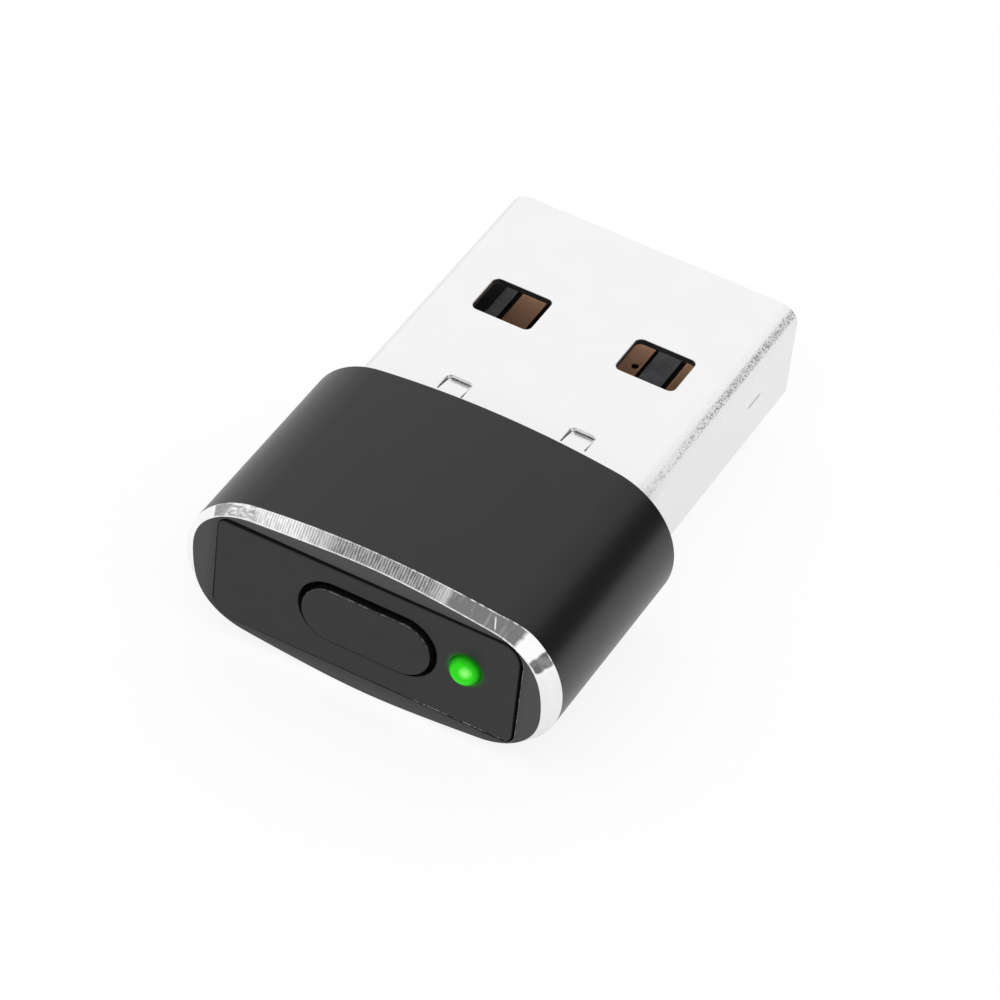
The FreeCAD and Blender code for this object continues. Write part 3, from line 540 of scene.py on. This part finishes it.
def make_case_plastic():
    """Matte black, with a green glow where the light spills into the panel round the light pipe."""
    paint = speckled("case_plastic", (0.0165, 0.0165, 0.017), 0.42, 14.0, 0.003, spread=0.1, shine=0.33)
    spill = paint.ramp(paint.distance((LENS["across"], PANEL["face"], LENS["up"])), 0.58, 0.86, 1.0, 0.0)
    spill = paint.math("MULTIPLY", spill, spill)
    paint.glow(paint.blend(spill, (0.0, 0.0, 0.0), (0.0, 0.15, 0.0)))
    cloud = paint.clouds(1.0, (0.015, 0.015, 0.0155), (0.018, 0.018, 0.0185))
    # Under the painted glow the panel's own colour goes almost black.
    paint.colour_from(paint.blend(paint.ramp(spill, 0.0, 0.5), cloud, (0.0, 0.002, 0.0)))
    return paint.material


def make_button_plastic():
    paint = speckled("button_plastic", (0.0165, 0.0165, 0.017), 0.46, 18.0, 0.003, spread=0.1, shine=0.33)
    return paint.material


def make_plug_steel():
    """Bright plated sheet with fine grain and hairlines, and pale specks of painted light where it is bent
    over at the top right.
    """
    metallic = 0.75
    paint = Paint("plug_steel", (0.9, 0.9, 0.895), 0.12, metallic)
    grain = paint.noise(13.0, 2.0, 0.65)
    hair = paint.noise(9.0, 3.0, 0.6, "Object", (1, 0.06, 1))
    plated = paint.clouds(0.5, (0.89, 0.89, 0.885), (0.905, 0.905, 0.9), 3.0, (0.35, 0.65))
    axes = paint.axes()
    bent = paint.math("MULTIPLY", paint.ramp(axes["X"], 5.3, 5.5), paint.ramp(axes["Z"], 1.55, 1.75))
    speck = paint.math("ADD", paint.noise(12.0, 2.0, 0.75), paint.ramp(axes["Y"], 0.0, 7.0, 0.12, 0.0))
    # Painted light: pale, hardly metallic specks that break up the dark reflection in the bend, more near the
    # sleeve.
    light_specks = paint.math("MULTIPLY", bent, paint.ramp(speck, 0.4, 0.58))
    paint.colour_from(paint.blend(light_specks, plated, (0.82, 0.82, 0.815)))
    paint.vary("Metallic", light_specks, metallic, 0.0)
    paint.vary("Roughness", grain, 0.1, 0.16, 0.3, 0.7)
    paint.bump(grain, 0.006)
    paint.bump(hair, 0.0006)
    return paint.material


def make_lens():
    """Lit green: brightest in the middle, with a dark rim where the light doesn't reach."""
    paint = Paint("lens_green", (0.01, 0.02, 0.01), 0.3, shine=0.06)
    swirl = paint.math("MULTIPLY", paint.noise(3.0, 2.0), 0.1)
    spot = LENS["across"] + 0.17, LENS["shoulder"] - 0.27, LENS["up"] + 0.24
    heart = paint.math("ADD", paint.distance(spot), swirl)
    middle = LENS["across"] + 0.03, 0, LENS["up"] + 0.07
    reach = paint.math("ADD", paint.distance(middle, (1, 0, 1)), swirl)
    core = paint.blend(paint.ramp(heart, 0.1, 0.32), (0.28, 1.0, 0.18), (0.018, 0.68, 0.002))
    light = paint.blend(paint.ramp(reach, 0.43, 0.64), core, (0.0, 0.16, 0.0))
    sunk = paint.ramp(paint.axes()["Y"], LENS["shoulder"] - 0.03, PANEL["face"], 0.0, 0.7)
    paint.glow(paint.blend(sunk, light, (0.0, 0.06, 0.0)))
    return paint.material


def make_insulator():
    """Moulded black, lighter grey in clouds on the tongue's top, and darkest in the grooves of the contacts,
    painted shade.
    """
    paint = speckled("insulator", (0.12, 0.125, 0.137), 0.3, 7.0, 0.004)
    up = paint.axes()["Z"]
    top_grey = paint.clouds(1.2, (0.17, 0.177, 0.19), (0.28, 0.29, 0.31), 3.0, (0.35, 0.65))
    # Painted shade: black in the grooves under the tongue's top, dark grey further down.
    low = paint.blend(paint.ramp(up, -0.9, -0.7), grey(0.026), grey(0.004))
    top = paint.ramp(up, -0.05, -0.01)
    paint.colour_from(paint.blend(top, low, top_grey))
    paint.vary("Roughness", top, 0.9, 0.3)
    return paint.material


# Each has its colour, roughness, scale of the grain, height of the grain in millimetres, metallic value and
# spread of the colour.
PLAIN_FINISHES = {
    "contact_plating": ((0.65, 0.36, 0.22), 0.3, 8.0, 0.002, 1.0, 0.1),
    "led_body": ((0.8, 0.8, 0.76), 0.35, 9.0, 0.002, 0.0, 0.12),
    "board_laminate": ((0.01, 0.11, 0.045), 0.3, 5.0, 0.004, 0.0, 0.2),
    "switch_plastic": ((0.04, 0.04, 0.04), 0.5, 12.0, 0.003, 0.0, 0.12),
    "plunger_plastic": ((0.7, 0.68, 0.6), 0.4, 12.0, 0.003, 0.0, 0.12),
    "switch_steel": ((0.68, 0.68, 0.68), 0.3, 10.0, 0.002, 1.0, 0.12),
    "spring_steel": ((0.6, 0.6, 0.58), 0.22, 10.0, 0.001, 1.0, 0.12),
    "solder_tin": ((0.68, 0.68, 0.7), 0.28, 9.0, 0.004, 1.0, 0.12),
    "chip_resin": ((0.025, 0.025, 0.027), 0.55, 12.0, 0.004, 0.0, 0.12),
    "capacitor_ceramic": ((0.42, 0.3, 0.2), 0.45, 9.0, 0.003, 0.0, 0.12),
    "resistor_glaze": ((0.02, 0.02, 0.02), 0.25, 9.0, 0.002, 0.0, 0.12),
}
MATERIAL = {
    "sleeve_anodised": make_anodised(),
    "plug_steel": make_plug_steel(),
    "case_plastic": make_case_plastic(),
    "button_plastic": make_button_plastic(),
    "lens_green": make_lens(),
    "insulator_plastic": make_insulator(),
}
for slot, look in PLAIN_FINISHES.items():
    MATERIAL[slot] = speckled(slot, *look).material
SLOT_OF = {row["node"]: row["material_slot"] for row in frame["record"]["subparts"]}
CUT_RIM = make_cut_rim()
SLEEVE_FACE = make_sleeve_face()
# The bore's rounded mouth is paler than the face, a painted highlight, with painted glints on its right.
BORE_MOUTH = make_glinting_edge("bore_mouth", 0.045, 0.2, 0.4, {"X": (5.6, 5.9)})
# The button's rounded edge has painted glints along its upper part.
BUTTON_EDGE = make_glinting_edge("button_edge", 0.02, 0.13, 0.33, {"Z": (0.2, 1.0)})
# The panel's edge is darker than the panel, painted shade in the gap, with painted glints low at the right.
PANEL_EDGE = make_glinting_edge("panel_edge", 0.004, 0.7, 0.08, {"X": (1.6, 2.6), "Z": (-2.0, -2.1)})
# The button's side wall is darker than the button, painted shade in the gap round it.
BUTTON_SIDE = speckled("button_side", (0.006, 0.006, 0.006), 0.35, 12.0, 0.002).material
# The shell's inside and its windows' walls are the same steel painted dark grey, painted shade.
SHELL_INSIDE = speckled("shell_inside", (0.2, 0.2, 0.2), 0.4, 11.0, 0.003, metallic=1.0).material


# ---- pieces ---------------------------------------------------------------------------------------------

def add_piece(name, mesh, node, extra=()):
    """Put a mesh in the scene in the place of a CAD node, on that node's body and in its finish."""
    piece = bpy.data.objects.new(name, mesh)
    bpy.context.scene.collection.objects.link(piece)
    for material in (MATERIAL[SLOT_OF[node]], *extra):
        mesh.materials.append(material)
    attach(piece, NODES[node]["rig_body"])
    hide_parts(node)
    return piece


def rim_cut(rim):
    """How far in and how far back the rim is cut at a place on the outline. It gets deeper to the right."""
    a, b, na, _ = rim
    angle = math.atan2(b / SLEEVE["height"], a / SLEEVE["width"])
    inset = RIM["width"] + sum(c * math.cos(n * angle) + s * math.sin(n * angle) for n, c, s in RIM_WAVES)
    first, span = 0.05, 0.55
    right = min(max((na - first) / span, 0), 1)
    smooth = right**2 * (3 - 2 * right)
    return inset, RIM["depth"] + RIM["deeper"] * smooth


def rim_profile(rim):
    """The rim from the sleeve's wall to its front face, with both its edges rounded a little."""
    nick, front = 0.025, -SLEEVE["length"]
    inset, depth = rim_cut(rim)
    slope = math.atan2(inset, depth)
    shoulder = front + depth + nick * math.tan(slope / 2)
    brow = inset + nick * math.tan((QUARTER - slope) / 2)
    return bend(nick, shoulder, nick, 0, -slope, 2) + bend(brow, front + nick, nick, -slope, -QUARTER, 2)


def make_sleeve():
    """The sleeve, whose rim, front face and mouth of the bore each have a finish of their own: painted
    reflections, painted shade and a painted highlight.
    """
    shape = Shape()
    outer = oval(SLEEVE["width"], SLEEVE["height"], SLEEVE["crown"])
    bore = hollow(rounded_box(0, 0, BORE["width"], BORE["height"], BORE["radii"]))
    front, rear_edge, bore_edge = -SLEEVE["length"], 0.05, 0.05
    rear = bend(rear_edge, -rear_edge, rear_edge, QUARTER, 0)
    sweep(shape, outer, lambda rim: rear + rim_profile(rim)[:1], FRONT)
    sweep(shape, outer, rim_profile, FRONT, finish=1)
    mouth = bend(bore_edge, front + bore_edge, bore_edge, -QUARTER, 0)
    sweep(shape, bore, mouth, FRONT, finish=3)
    sweep(shape, bore, mouth[-1:] + bend(bore_edge, -bore_edge, bore_edge, 0, QUARTER), FRONT)
    brow = []
    for rim in outer:
        a, b, na, nb = rim
        inset = rim_profile(rim)[-1][0]
        brow.append((a - na * inset, b - nb * inset, na, nb))
    cap(shape, [(brow, 0), (bore, bore_edge)], front, FRONT, -1, finish=2)
    cap(shape, [(outer, rear_edge), (bore, bore_edge)], 0, FRONT, 1)
    add_piece("sleeve_shell", shape.mesh("sleeve_shell"), "sleeve", extra=(CUT_RIM, SLEEVE_FACE, BORE_MOUTH))


def make_case():
    """The inner case: its front wall is the end panel, and its top and rear are open."""
    shape = Shape()
    half_h = PLUG["height"] / 2
    ledge, shelf, channel = 5.2, 4.95, 4.25
    lid, board, floor = 1.75, -1.1, -1.75
    # The section's outline is cut open at the top, where the room for the lid lies between the two ledges.
    corners = rounded_box(0, 0, PLUG["width"], PLUG["height"], CASE["radii"])
    start = next(k for k, r in enumerate(corners) if r[0] < 0 and r[3] > 1 - TINY)
    outer = corners[start:] + corners[:start]
    outer = [(-ledge, half_h, 0, 1)] + outer + [(ledge, half_h, 0, 1)]
    cavity = [(ledge, half_h), (ledge, lid), (shelf, lid), (shelf, board), (channel, board), (channel, floor)]
    cavity += [(-a, b) for a, b in reversed(cavity)]
    # The line that would close the cavity at the top is left out.
    inner = sharp(cavity)[:-2]
    panel = rounded_box(PANEL["across"], 0, PANEL["width"], PANEL["height"], PANEL["radii"])
    lip = turned(panel, PANEL["turn"])
    # The room round the button, how much higher its hole lies, and the room round the light pipe.
    slack, lift, play = 0.2, 0.03, 0.02
    hole_width, hole_height = BUTTON["width"] + 2 * slack, BUTTON["height"] + 2 * slack - lift
    hole = rounded_box(BUTTON["across"], BUTTON["up"] + lift, hole_width, hole_height, hole_height / 2)
    light = circle(LENS["across"], LENS["up"], LENS["radius"] + play)
    hole, light = hollow(hole), hollow(light)
    face, edge, hole_edge = PANEL["face"], 0.04, 0.045
    wall_back, rear = CASE["wall_back"], CASE["rear"]
    # Only the panel's left and bottom edges take the darker edge, painted shade with painted glints.
    sweep(shape, lip, bend(edge, face + edge, edge, -QUARTER, 0), FRONT,
          finish=lambda rim: int(max(rim[2], rim[3]) < 0.5))
    sweep(shape, lip, [(0, face + edge, 0), (0, PANEL["lip"], 0)], FRONT)
    cap(shape, [(outer, 0), (lip, 0)], PANEL["lip"], FRONT, -1)
    sweep(shape, outer, [(0, PANEL["lip"], 0), (0, wall_back, 0)], FRONT)
    hole_wall = bend(hole_edge, face + hole_edge, hole_edge, -QUARTER, 0) + [(0, wall_back, 0)]
    for loop in (hole, light):
        sweep(shape, loop, hole_wall, FRONT)
    cap(shape, [(lip, edge), (hole, hole_edge), (light, hole_edge)], face, FRONT, -1)
    cavity_edge = [(a, b, 0, 0) for a, b in cavity]
    cap(shape, [(cavity_edge, 0), (hole, 0), (light, 0)], wall_back, FRONT, 1)
    section = outer + inner
    sweep(shape, section, [(0, wall_back, 0), (0, rear, 0)], FRONT)
    cap(shape, [(section, 0)], rear, FRONT, 1)
    add_piece("end_panel", shape.mesh("end_panel"), "housing", extra=(PANEL_EDGE,))


def make_button():
    """The button with painted glints on its edge, painted shade on its side, a flange behind the panel and a
    boss that meets the switch.
    """
    shape = Shape()
    across, up, width, height = (BUTTON[name] for name in ("across", "up", "width", "height"))
    outline = rounded_box(across, up, width, height, height / 2, steps=20)
    fillet, face = BUTTON["fillet"], BUTTON["face"]
    overhang, flange_back, boss_back, half_w, half_h = 0.36, -7.83, -7.68, 1.1, 0.5
    edge, glint_from = bend(fillet, face + fillet, fillet, -QUARTER, 0, 6), 3
    flange = [(0, FLANGE_FRONT, 0), (0, FLANGE_FRONT, -QUARTER), (-overhang, FLANGE_FRONT, -QUARTER),
              (-overhang, FLANGE_FRONT, 0), (-overhang, flange_back, 0)]
    # The fillet's outer part has painted glints; the side wall and flange below it are in painted shade.
    sweep(shape, outline, edge[:glint_from + 1], FRONT)
    sweep(shape, outline, edge[glint_from:], FRONT, finish=1)
    sweep(shape, outline, edge[-1:] + flange, FRONT, finish=2)
    cap(shape, [(outline, fillet)], face, FRONT, -1)
    boss = sharp([(across + half_w, up - half_h), (across + half_w, up + half_h),
                  (across - half_w, up + half_h), (across - half_w, up - half_h)])
    cap(shape, [(outline, -overhang), (boss, 0)], flange_back, FRONT, 1)
    sweep(shape, boss, [(0, flange_back, 0), (0, boss_back, 0)], FRONT)
    cap(shape, [(boss, 0)], boss_back, FRONT, 1)
    add_piece("push_button", shape.mesh("push_button"), "button", extra=(BUTTON_EDGE, BUTTON_SIDE))


def make_light_pipe():
    """A rod with a dome that stands out of the panel and a flange behind it."""
    shape = Shape()
    radius, shoulder, dome = LENS["radius"], LENS["shoulder"], LENS["dome"]
    outline = circle(LENS["across"], LENS["up"], radius)
    ball = (radius**2 + dome**2) / (2 * dome)
    profile, steps = [], 12
    for k in range(steps + 1):
        reach = radius * k / steps
        level = shoulder + math.sqrt(ball**2 - radius**2) - math.sqrt(ball**2 - reach**2)
        profile.append((radius - reach, level, math.asin(reach / ball) - QUARTER))
    rear, flange = -7.98, -0.22
    profile += [(0, shoulder, 0), (0, FLANGE_FRONT, 0), (0, FLANGE_FRONT, -QUARTER),
                (flange, FLANGE_FRONT, -QUARTER), (flange, FLANGE_FRONT, 0), (flange, rear, 0)]
    sweep(shape, outline, profile, FRONT)
    cap(shape, [(outline, flange)], rear, FRONT, 1)
    add_piece("light_pipe", shape.mesh("light_pipe"), "led_lens")


# ---- the plug's folded shell ----------------------------------------------------------------------------

SIDE_FLAT = PLUG["height"] - 2 * PLUG["bend"]
HALF_TOP = PLUG["width"] / 2 - PLUG["bend"]
BEND_LENGTH = PLUG["bend"] * QUARTER
RISE = SIDE_FLAT / 2
# Where each bend and each flat stretch of the blank starts, counted from its left edge, which is the seam.
STARTS = [HALF_TOP]
for stretch in (BEND_LENGTH, SIDE_FLAT, BEND_LENGTH, 2 * HALF_TOP, BEND_LENGTH, SIDE_FLAT, BEND_LENGTH):
    STARTS.append(STARTS[-1] + stretch)
GIRTH = STARTS[-1] + HALF_TOP
TOP_CENTRE = GIRTH / 2


def fold(along, depth):
    """Where a point of the flat blank lies once it is folded: across, up, and the directions there."""
    # Stretches with an odd number are bends, and the others are flat.
    stretch = sum(along > start for start in STARTS)
    run = along - STARTS[stretch - 1] if stretch else along
    quarters = stretch // 2
    if stretch % 2:
        a, b = ((HALF_TOP, -RISE), (HALF_TOP, RISE), (-HALF_TOP, RISE), (-HALF_TOP, -RISE))[quarters]
        radius, angle = PLUG["bend"] + depth, (quarters - 1) * QUARTER + run / PLUG["bend"]
        c, s = math.cos(angle), math.sin(angle)
        return (a + radius * c, b + radius * s), (-s, c), (c, s)
    half_w, half_h = PLUG["width"] / 2, PLUG["height"] / 2
    flats = (
        ((run, -half_h - depth), (1, 0), (0, -1)),
        ((half_w + depth, -RISE + run), (0, 1), (1, 0)),
        ((HALF_TOP - run, half_h + depth), (-1, 0), (0, 1)),
        ((-half_w - depth, RISE - run), (0, -1), (-1, 0)),
        ((-HALF_TOP + run, -half_h - depth), (1, 0), (0, -1)))
    return flats[quarters]


def tip_edge():
    """The blank's tip edge from its far end to its near one: the sides stand back behind rounded corners."""
    shoulder = PLUG["reach"] - PLUG["tip_round"]
    inner = PLUG["width"] / 2 - PLUG["tip_round"]
    steps = 10

    def level(across):
        lean = max(abs(across) - inner, 0)
        return shoulder + math.sqrt(max(PLUG["tip_round"]**2 - lean**2, 0))

    first_angle = math.asin((inner - HALF_TOP) / PLUG["bend"])
    angles = [first_angle + (QUARTER - first_angle) * k / steps for k in range(steps + 1)]
    drop = [(PLUG["bend"] * a, level(HALF_TOP + PLUG["bend"] * math.sin(a))) for a in angles]
    points = []
    for base in (STARTS[6], STARTS[2]):
        # downwards along the blank: a bottom bend, a side, a top bend
        points += [(base + BEND_LENGTH - a, v) for a, v in drop]
        points += [(base - SIDE_FLAT - BEND_LENGTH + a, v) for a, v in reversed(drop)]
    return points


def make_plug_shell():
    """The plug's shell: a flat sheet with its seam, windows, slits and slots, which is then folded."""
    flat = Shape()
    tip, tail = PLUG["reach"], -PLUG["tail"]
    # The seam's edges meet in a dovetail from near to far, with a gap all along.
    gap, near, far, flare, depth = 0.06, 3.4, 5.2, 0.4, 1.0
    left, right = gap / 2, GIRTH - gap / 2
    outline = [(left, tail), (right, tail), (right, near), (GIRTH + depth, near - flare),
               (GIRTH + depth, far + flare), (right, far), (right, tip)]
    outline += tip_edge()
    outline += [(left, tip), (left, far + gap), (depth + gap, far + flare + gap),
                (depth + gap, near - flare - gap), (left, near - gap)]
    edge, slot_edge = 0.05, 0.035
    blank = rounded_corners(outline, [0.05] * len(outline))
    holes = []
    for side in (-1, 1):
        for centre in (TOP_CENTRE + side * WINDOW["across"], (side * WINDOW["across"]) % GIRTH):
            window = rounded_box(centre, WINDOW["along"], WINDOW["width"], WINDOW["length"],
                                 WINDOW["corner"], steps=8)
            # Window walls take the shell's inside material, in painted shade.
            holes.append((hollow(window), edge, 1))
        slot = tab_slot(TOP_CENTRE + side * TAB["across"])
        holes.append((hollow(slot), slot_edge, 0))
    for centre in (STARTS[1] + RISE + SLIT["up"], STARTS[5] + RISE - SLIT["up"]):
        slit = rounded_box(centre, SLIT["along"], SLIT["width"], SLIT["length"], SLIT["corner"], steps=3)
        holes.append((hollow(slit), slot_edge, 0))
    plate(flat, blank, holes, -PLUG["sheet"], 0, edge, FLAT)
    add_piece("plug_sheath", fold_blank(flat).mesh("plug_sheath"), "plug_shell", extra=(SHELL_INSIDE,))


def tab_slot(centre):
    """The slot that cuts a locking tab free on three sides."""
    inner, gap, hinge, end = TAB["half"], TAB["gap"], TAB["hinge"], TAB["end"]
    outer = inner + gap
    corners = [(-outer, hinge), (-inner, hinge), (-inner, end), (inner, end), (inner, hinge), (outer, hinge),
               (outer, end + gap), (-outer, end + gap)]
    radii = [0.018, 0.018, 0.06, 0.06, 0.018, 0.018, 0.15, 0.15]
    return rounded_corners([(centre + a, b) for a, b in corners], radii)


def tab_press(across, along):
    """How deep and how steeply the sheet is pressed in at a place on its top wall."""
    run = along - TAB["hinge"]
    beside = abs(abs(across) - TAB["across"]) > TAB["half"] + TAB["gap"] / 2
    if beside or not 0 < run < TAB["end"] - TAB["hinge"] + TAB["gap"] / 2:
        return 0, 0
    curve = TAB["curve"]
    slope = TAB["drop"] / (TAB["end"] - TAB["hinge"] - curve / 2)
    if run < curve:
        return slope * run**2 / (2 * curve), slope * run / curve
    return slope * (run - curve / 2), slope


def fold_blank(flat):
    """Cut the flat blank across at every bend line, then bend it round and press its two tabs in."""
    work = bmesh.new()
    layer = work.loops.layers.float_vector.new("lean")
    vertices = [work.verts.new(p) for p in flat.points]
    for rows, finish in flat.faces:
        face = work.faces.new([vertices[r[0]] for r in rows])
        face.material_index = finish
        for loop, row in zip(face.loops, rows):
            loop[layer] = row[1]
    bend_steps, curve_steps = 12, 4
    cuts = [((first + BEND_LENGTH * k / bend_steps, 0, 0), (1, 0, 0))
            for first in STARTS[::2] for k in range(bend_steps + 1)]
    cuts += [((0, TAB["hinge"] + TAB["curve"] * k / curve_steps, 0), (0, 1, 0))
             for k in range(curve_steps + 1)]
    for place, across in cuts:
        geometry = work.verts[:] + work.edges[:] + work.faces[:]
        bmesh.ops.bisect_plane(work, geom=geometry, dist=TINY, plane_co=place, plane_no=across)
    shape = Shape()
    for face in work.faces:
        corners, normals = [], []
        for loop in face.loops:
            x, y, z = loop.vert.co
            (a, b), tangent, outward = fold(x, z)
            depth, slope = tab_press(a, y) if b > 0 else (0, 0)
            lean = Vector(loop[layer]).normalized()
            out = lean.z - slope * lean.y
            corners.append(Vector((a, y, b - depth)))
            normals.append(Vector((tangent[0] * lean.x + outward[0] * out, lean.y + slope * lean.z,
                                   tangent[1] * lean.x + outward[1] * out)))
        shape.face(corners, normals, face.material_index)
    work.free()
    return shape


# ---- pieces softened from the solids --------------------------------------------------------------------

def soften(node, width, name):
    """A copy of a node's solid with its sharp edges rounded."""
    work = bmesh.new()
    work.from_mesh(NODES[node].data)
    bmesh.ops.remove_doubles(work, verts=work.verts, dist=1e-7)
    bmesh.ops.dissolve_limit(work, angle_limit=math.radians(1), verts=work.verts, edges=work.edges)
    edges = [e for e in work.edges if e.is_manifold and e.calc_face_angle(0) > math.radians(30)]
    bmesh.ops.bevel(work, geom=edges, offset=width * MM, offset_type="OFFSET", segments=2, profile=0.5,
                    affect="EDGES", clamp_overlap=True)
    for face in work.faces:
        face.smooth = True
    mesh = bpy.data.meshes.new(name)
    work.to_mesh(mesh)
    work.free()
    piece = add_piece(name, mesh, node)
    even = piece.modifiers.new("even_normals", "WEIGHTED_NORMAL")
    even.weight = 100
    even.keep_sharp = True
    return piece


make_sleeve()
make_case()
make_button()
make_light_pipe()
make_plug_shell()
soften("plug_insulator", 0.05, "tongue")
for contact in ("vbus", "dminus", "dplus", "gnd"):
    soften(f"contact_{contact}", 0.03, f"contact_strip_{contact}")
# The switch's dome gets its own mesh; the real one flattens against the wall behind it as the plunger comes
# in.
snap_leaf = soften("switch_dome", 0.01, "snap_leaf")
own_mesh(snap_leaf)

# Every solid that still shows gets its finish too.
for name, node in NODES.items():
    node.data.materials.clear()
    node.data.materials.append(MATERIAL[SLOT_OF[name]])


# ---- floor, light and camera ----------------------------------------------------------------------------

def make_floor():
    """A white floor that glows where it is seen, directly or mirrored, so its shadow is only faint."""
    mesh = bpy.data.meshes.new("floor")
    reach, level = 2.0, -SLEEVE["height"] / 2 * MM
    mesh.from_pydata([(-reach, -reach, level), (reach, -reach, level), (reach, reach, level),
                      (-reach, reach, level)], [], [(0, 1, 2, 3)])
    floor = bpy.data.objects.new("floor", mesh)
    bpy.context.scene.collection.objects.link(floor)
    white, dim = (0.98, 0.98, 0.98), (0.14, 0.14, 0.14)
    strength, less_mirrored = 0.86, 0.12
    paint = Paint("floor", white, 0.9, shine=0.0)
    path = paint.node("LightPath")
    seen = paint.math("MAXIMUM", path.outputs["Is Camera Ray"], path.outputs["Is Glossy Ray"])
    seen = paint.math("MAXIMUM", seen, path.outputs["Is Transmission Ray"])
    paint.colour_from(paint.blend(seen, white, dim))
    paint.shader.inputs["Emission Color"].default_value = (1, 1, 1, 1)
    glow = paint.math("SUBTRACT", paint.math("MULTIPLY", seen, strength),
                      paint.math("MULTIPLY", path.outputs["Is Glossy Ray"], less_mirrored))
    paint.link(glow, paint.shader.inputs["Emission Strength"])
    mesh.materials.append(paint.material)


def make_world():
    """An even white surround, with one darker place that only reflections see."""
    world = bpy.data.worlds.new("studio")
    bpy.context.scene.world = world
    world.use_nodes = True
    tree = world.node_tree
    tree.nodes.clear()

    def add(kind, inputs, **settings):
        """A new node's outputs. Each of its inputs gets a value, or the output that feeds it."""
        node = tree.nodes.new("ShaderNode" + kind)
        for name, value in settings.items():
            setattr(node, name, value)
        for name, value in inputs.items():
            if isinstance(value, bpy.types.NodeSocket):
                tree.links.new(value, node.inputs[name])
            else:
                node.inputs[name].default_value = value
        return node.outputs

    white = (1, 1, 1, 1)
    direction = Vector((0.69, 0.67, 0.27))
    outer, inner, darkness = math.radians(26), math.radians(11), 0.95
    path = add("LightPath", {})
    source = add("TexCoord", {})["Generated"]
    facing = add("VectorMath", {0: source, 1: direction.normalized()}, operation="DOT_PRODUCT")["Value"]
    limits = {"From Min": math.cos(outer), "From Max": math.cos(inner), "To Min": 1.0, "To Max": 1 - darkness}
    patch = add("MapRange", {"Value": facing, **limits}, interpolation_type="SMOOTHSTEP")["Result"]
    lit = add("Background", {"Color": white, "Strength": 0.95})["Background"]
    seen = add("Background", {"Color": white, "Strength": 1.0})["Background"]
    mirrored = add("Background", {"Color": white, "Strength": patch})["Background"]
    rays = {0: path["Is Camera Ray"], 1: path["Is Transmission Ray"]}
    direct = add("Math", rays, operation="MAXIMUM")["Value"]
    rest = add("MixShader", {"Fac": path["Is Glossy Ray"], 1: lit, 2: mirrored})["Shader"]
    final = add("MixShader", {"Fac": direct, 1: rest, 2: seen})["Shader"]
    add("OutputWorld", {"Surface": final})


def make_lamp(name, place, size, power):
    """A soft square lamp that looks at the object. Its place is in millimetres and its power in watts."""
    lamp = bpy.data.lights.new(name, "AREA")
    lamp.size = size * MM
    lamp.energy = power
    holder = bpy.data.objects.new(name, lamp)
    bpy.context.scene.collection.objects.link(holder)
    holder.location = Vector(place) * MM
    holder.rotation_euler = (-Vector(place)).to_track_quat("-Z", "Y").to_euler()
    holder.visible_glossy = False


def make_camera():
    """The photograph's own view. Its distance and aim are in millimetres, its focal length in pixels."""
    azimuth, elevation, roll = (math.radians(v) for v in (23.706, 42.528, 7.104))
    distance, focal, aim_right, aim_up = 190.213, 5339.963, 0.347, -0.604
    photo_width = 1000
    back = Vector((math.sin(azimuth) * math.cos(elevation), -math.cos(azimuth) * math.cos(elevation),
                   math.sin(elevation)))
    level = Vector((math.cos(azimuth), math.sin(azimuth), 0))
    rise = back.cross(level)
    right = level * math.cos(roll) + rise * math.sin(roll)
    up = rise * math.cos(roll) - level * math.sin(roll)
    data = bpy.data.cameras.new("camera")
    data.sensor_width = 36.0
    data.lens = focal * data.sensor_width / photo_width
    data.clip_start, data.clip_end = 0.01, 20.0
    camera = bpy.data.objects.new("camera", data)
    bpy.context.scene.collection.objects.link(camera)
    turn = Matrix((right, up, back)).transposed().to_4x4()
    camera.matrix_world = Matrix.Translation((back * distance + right * aim_right + up * aim_up) * MM) @ turn
    bpy.context.scene.camera = camera


make_floor()
make_world()
make_lamp("key", place=(-60, 40, 120), size=120, power=0.02)
make_camera()
bpy.context.scene.view_settings.view_transform = "Standard"
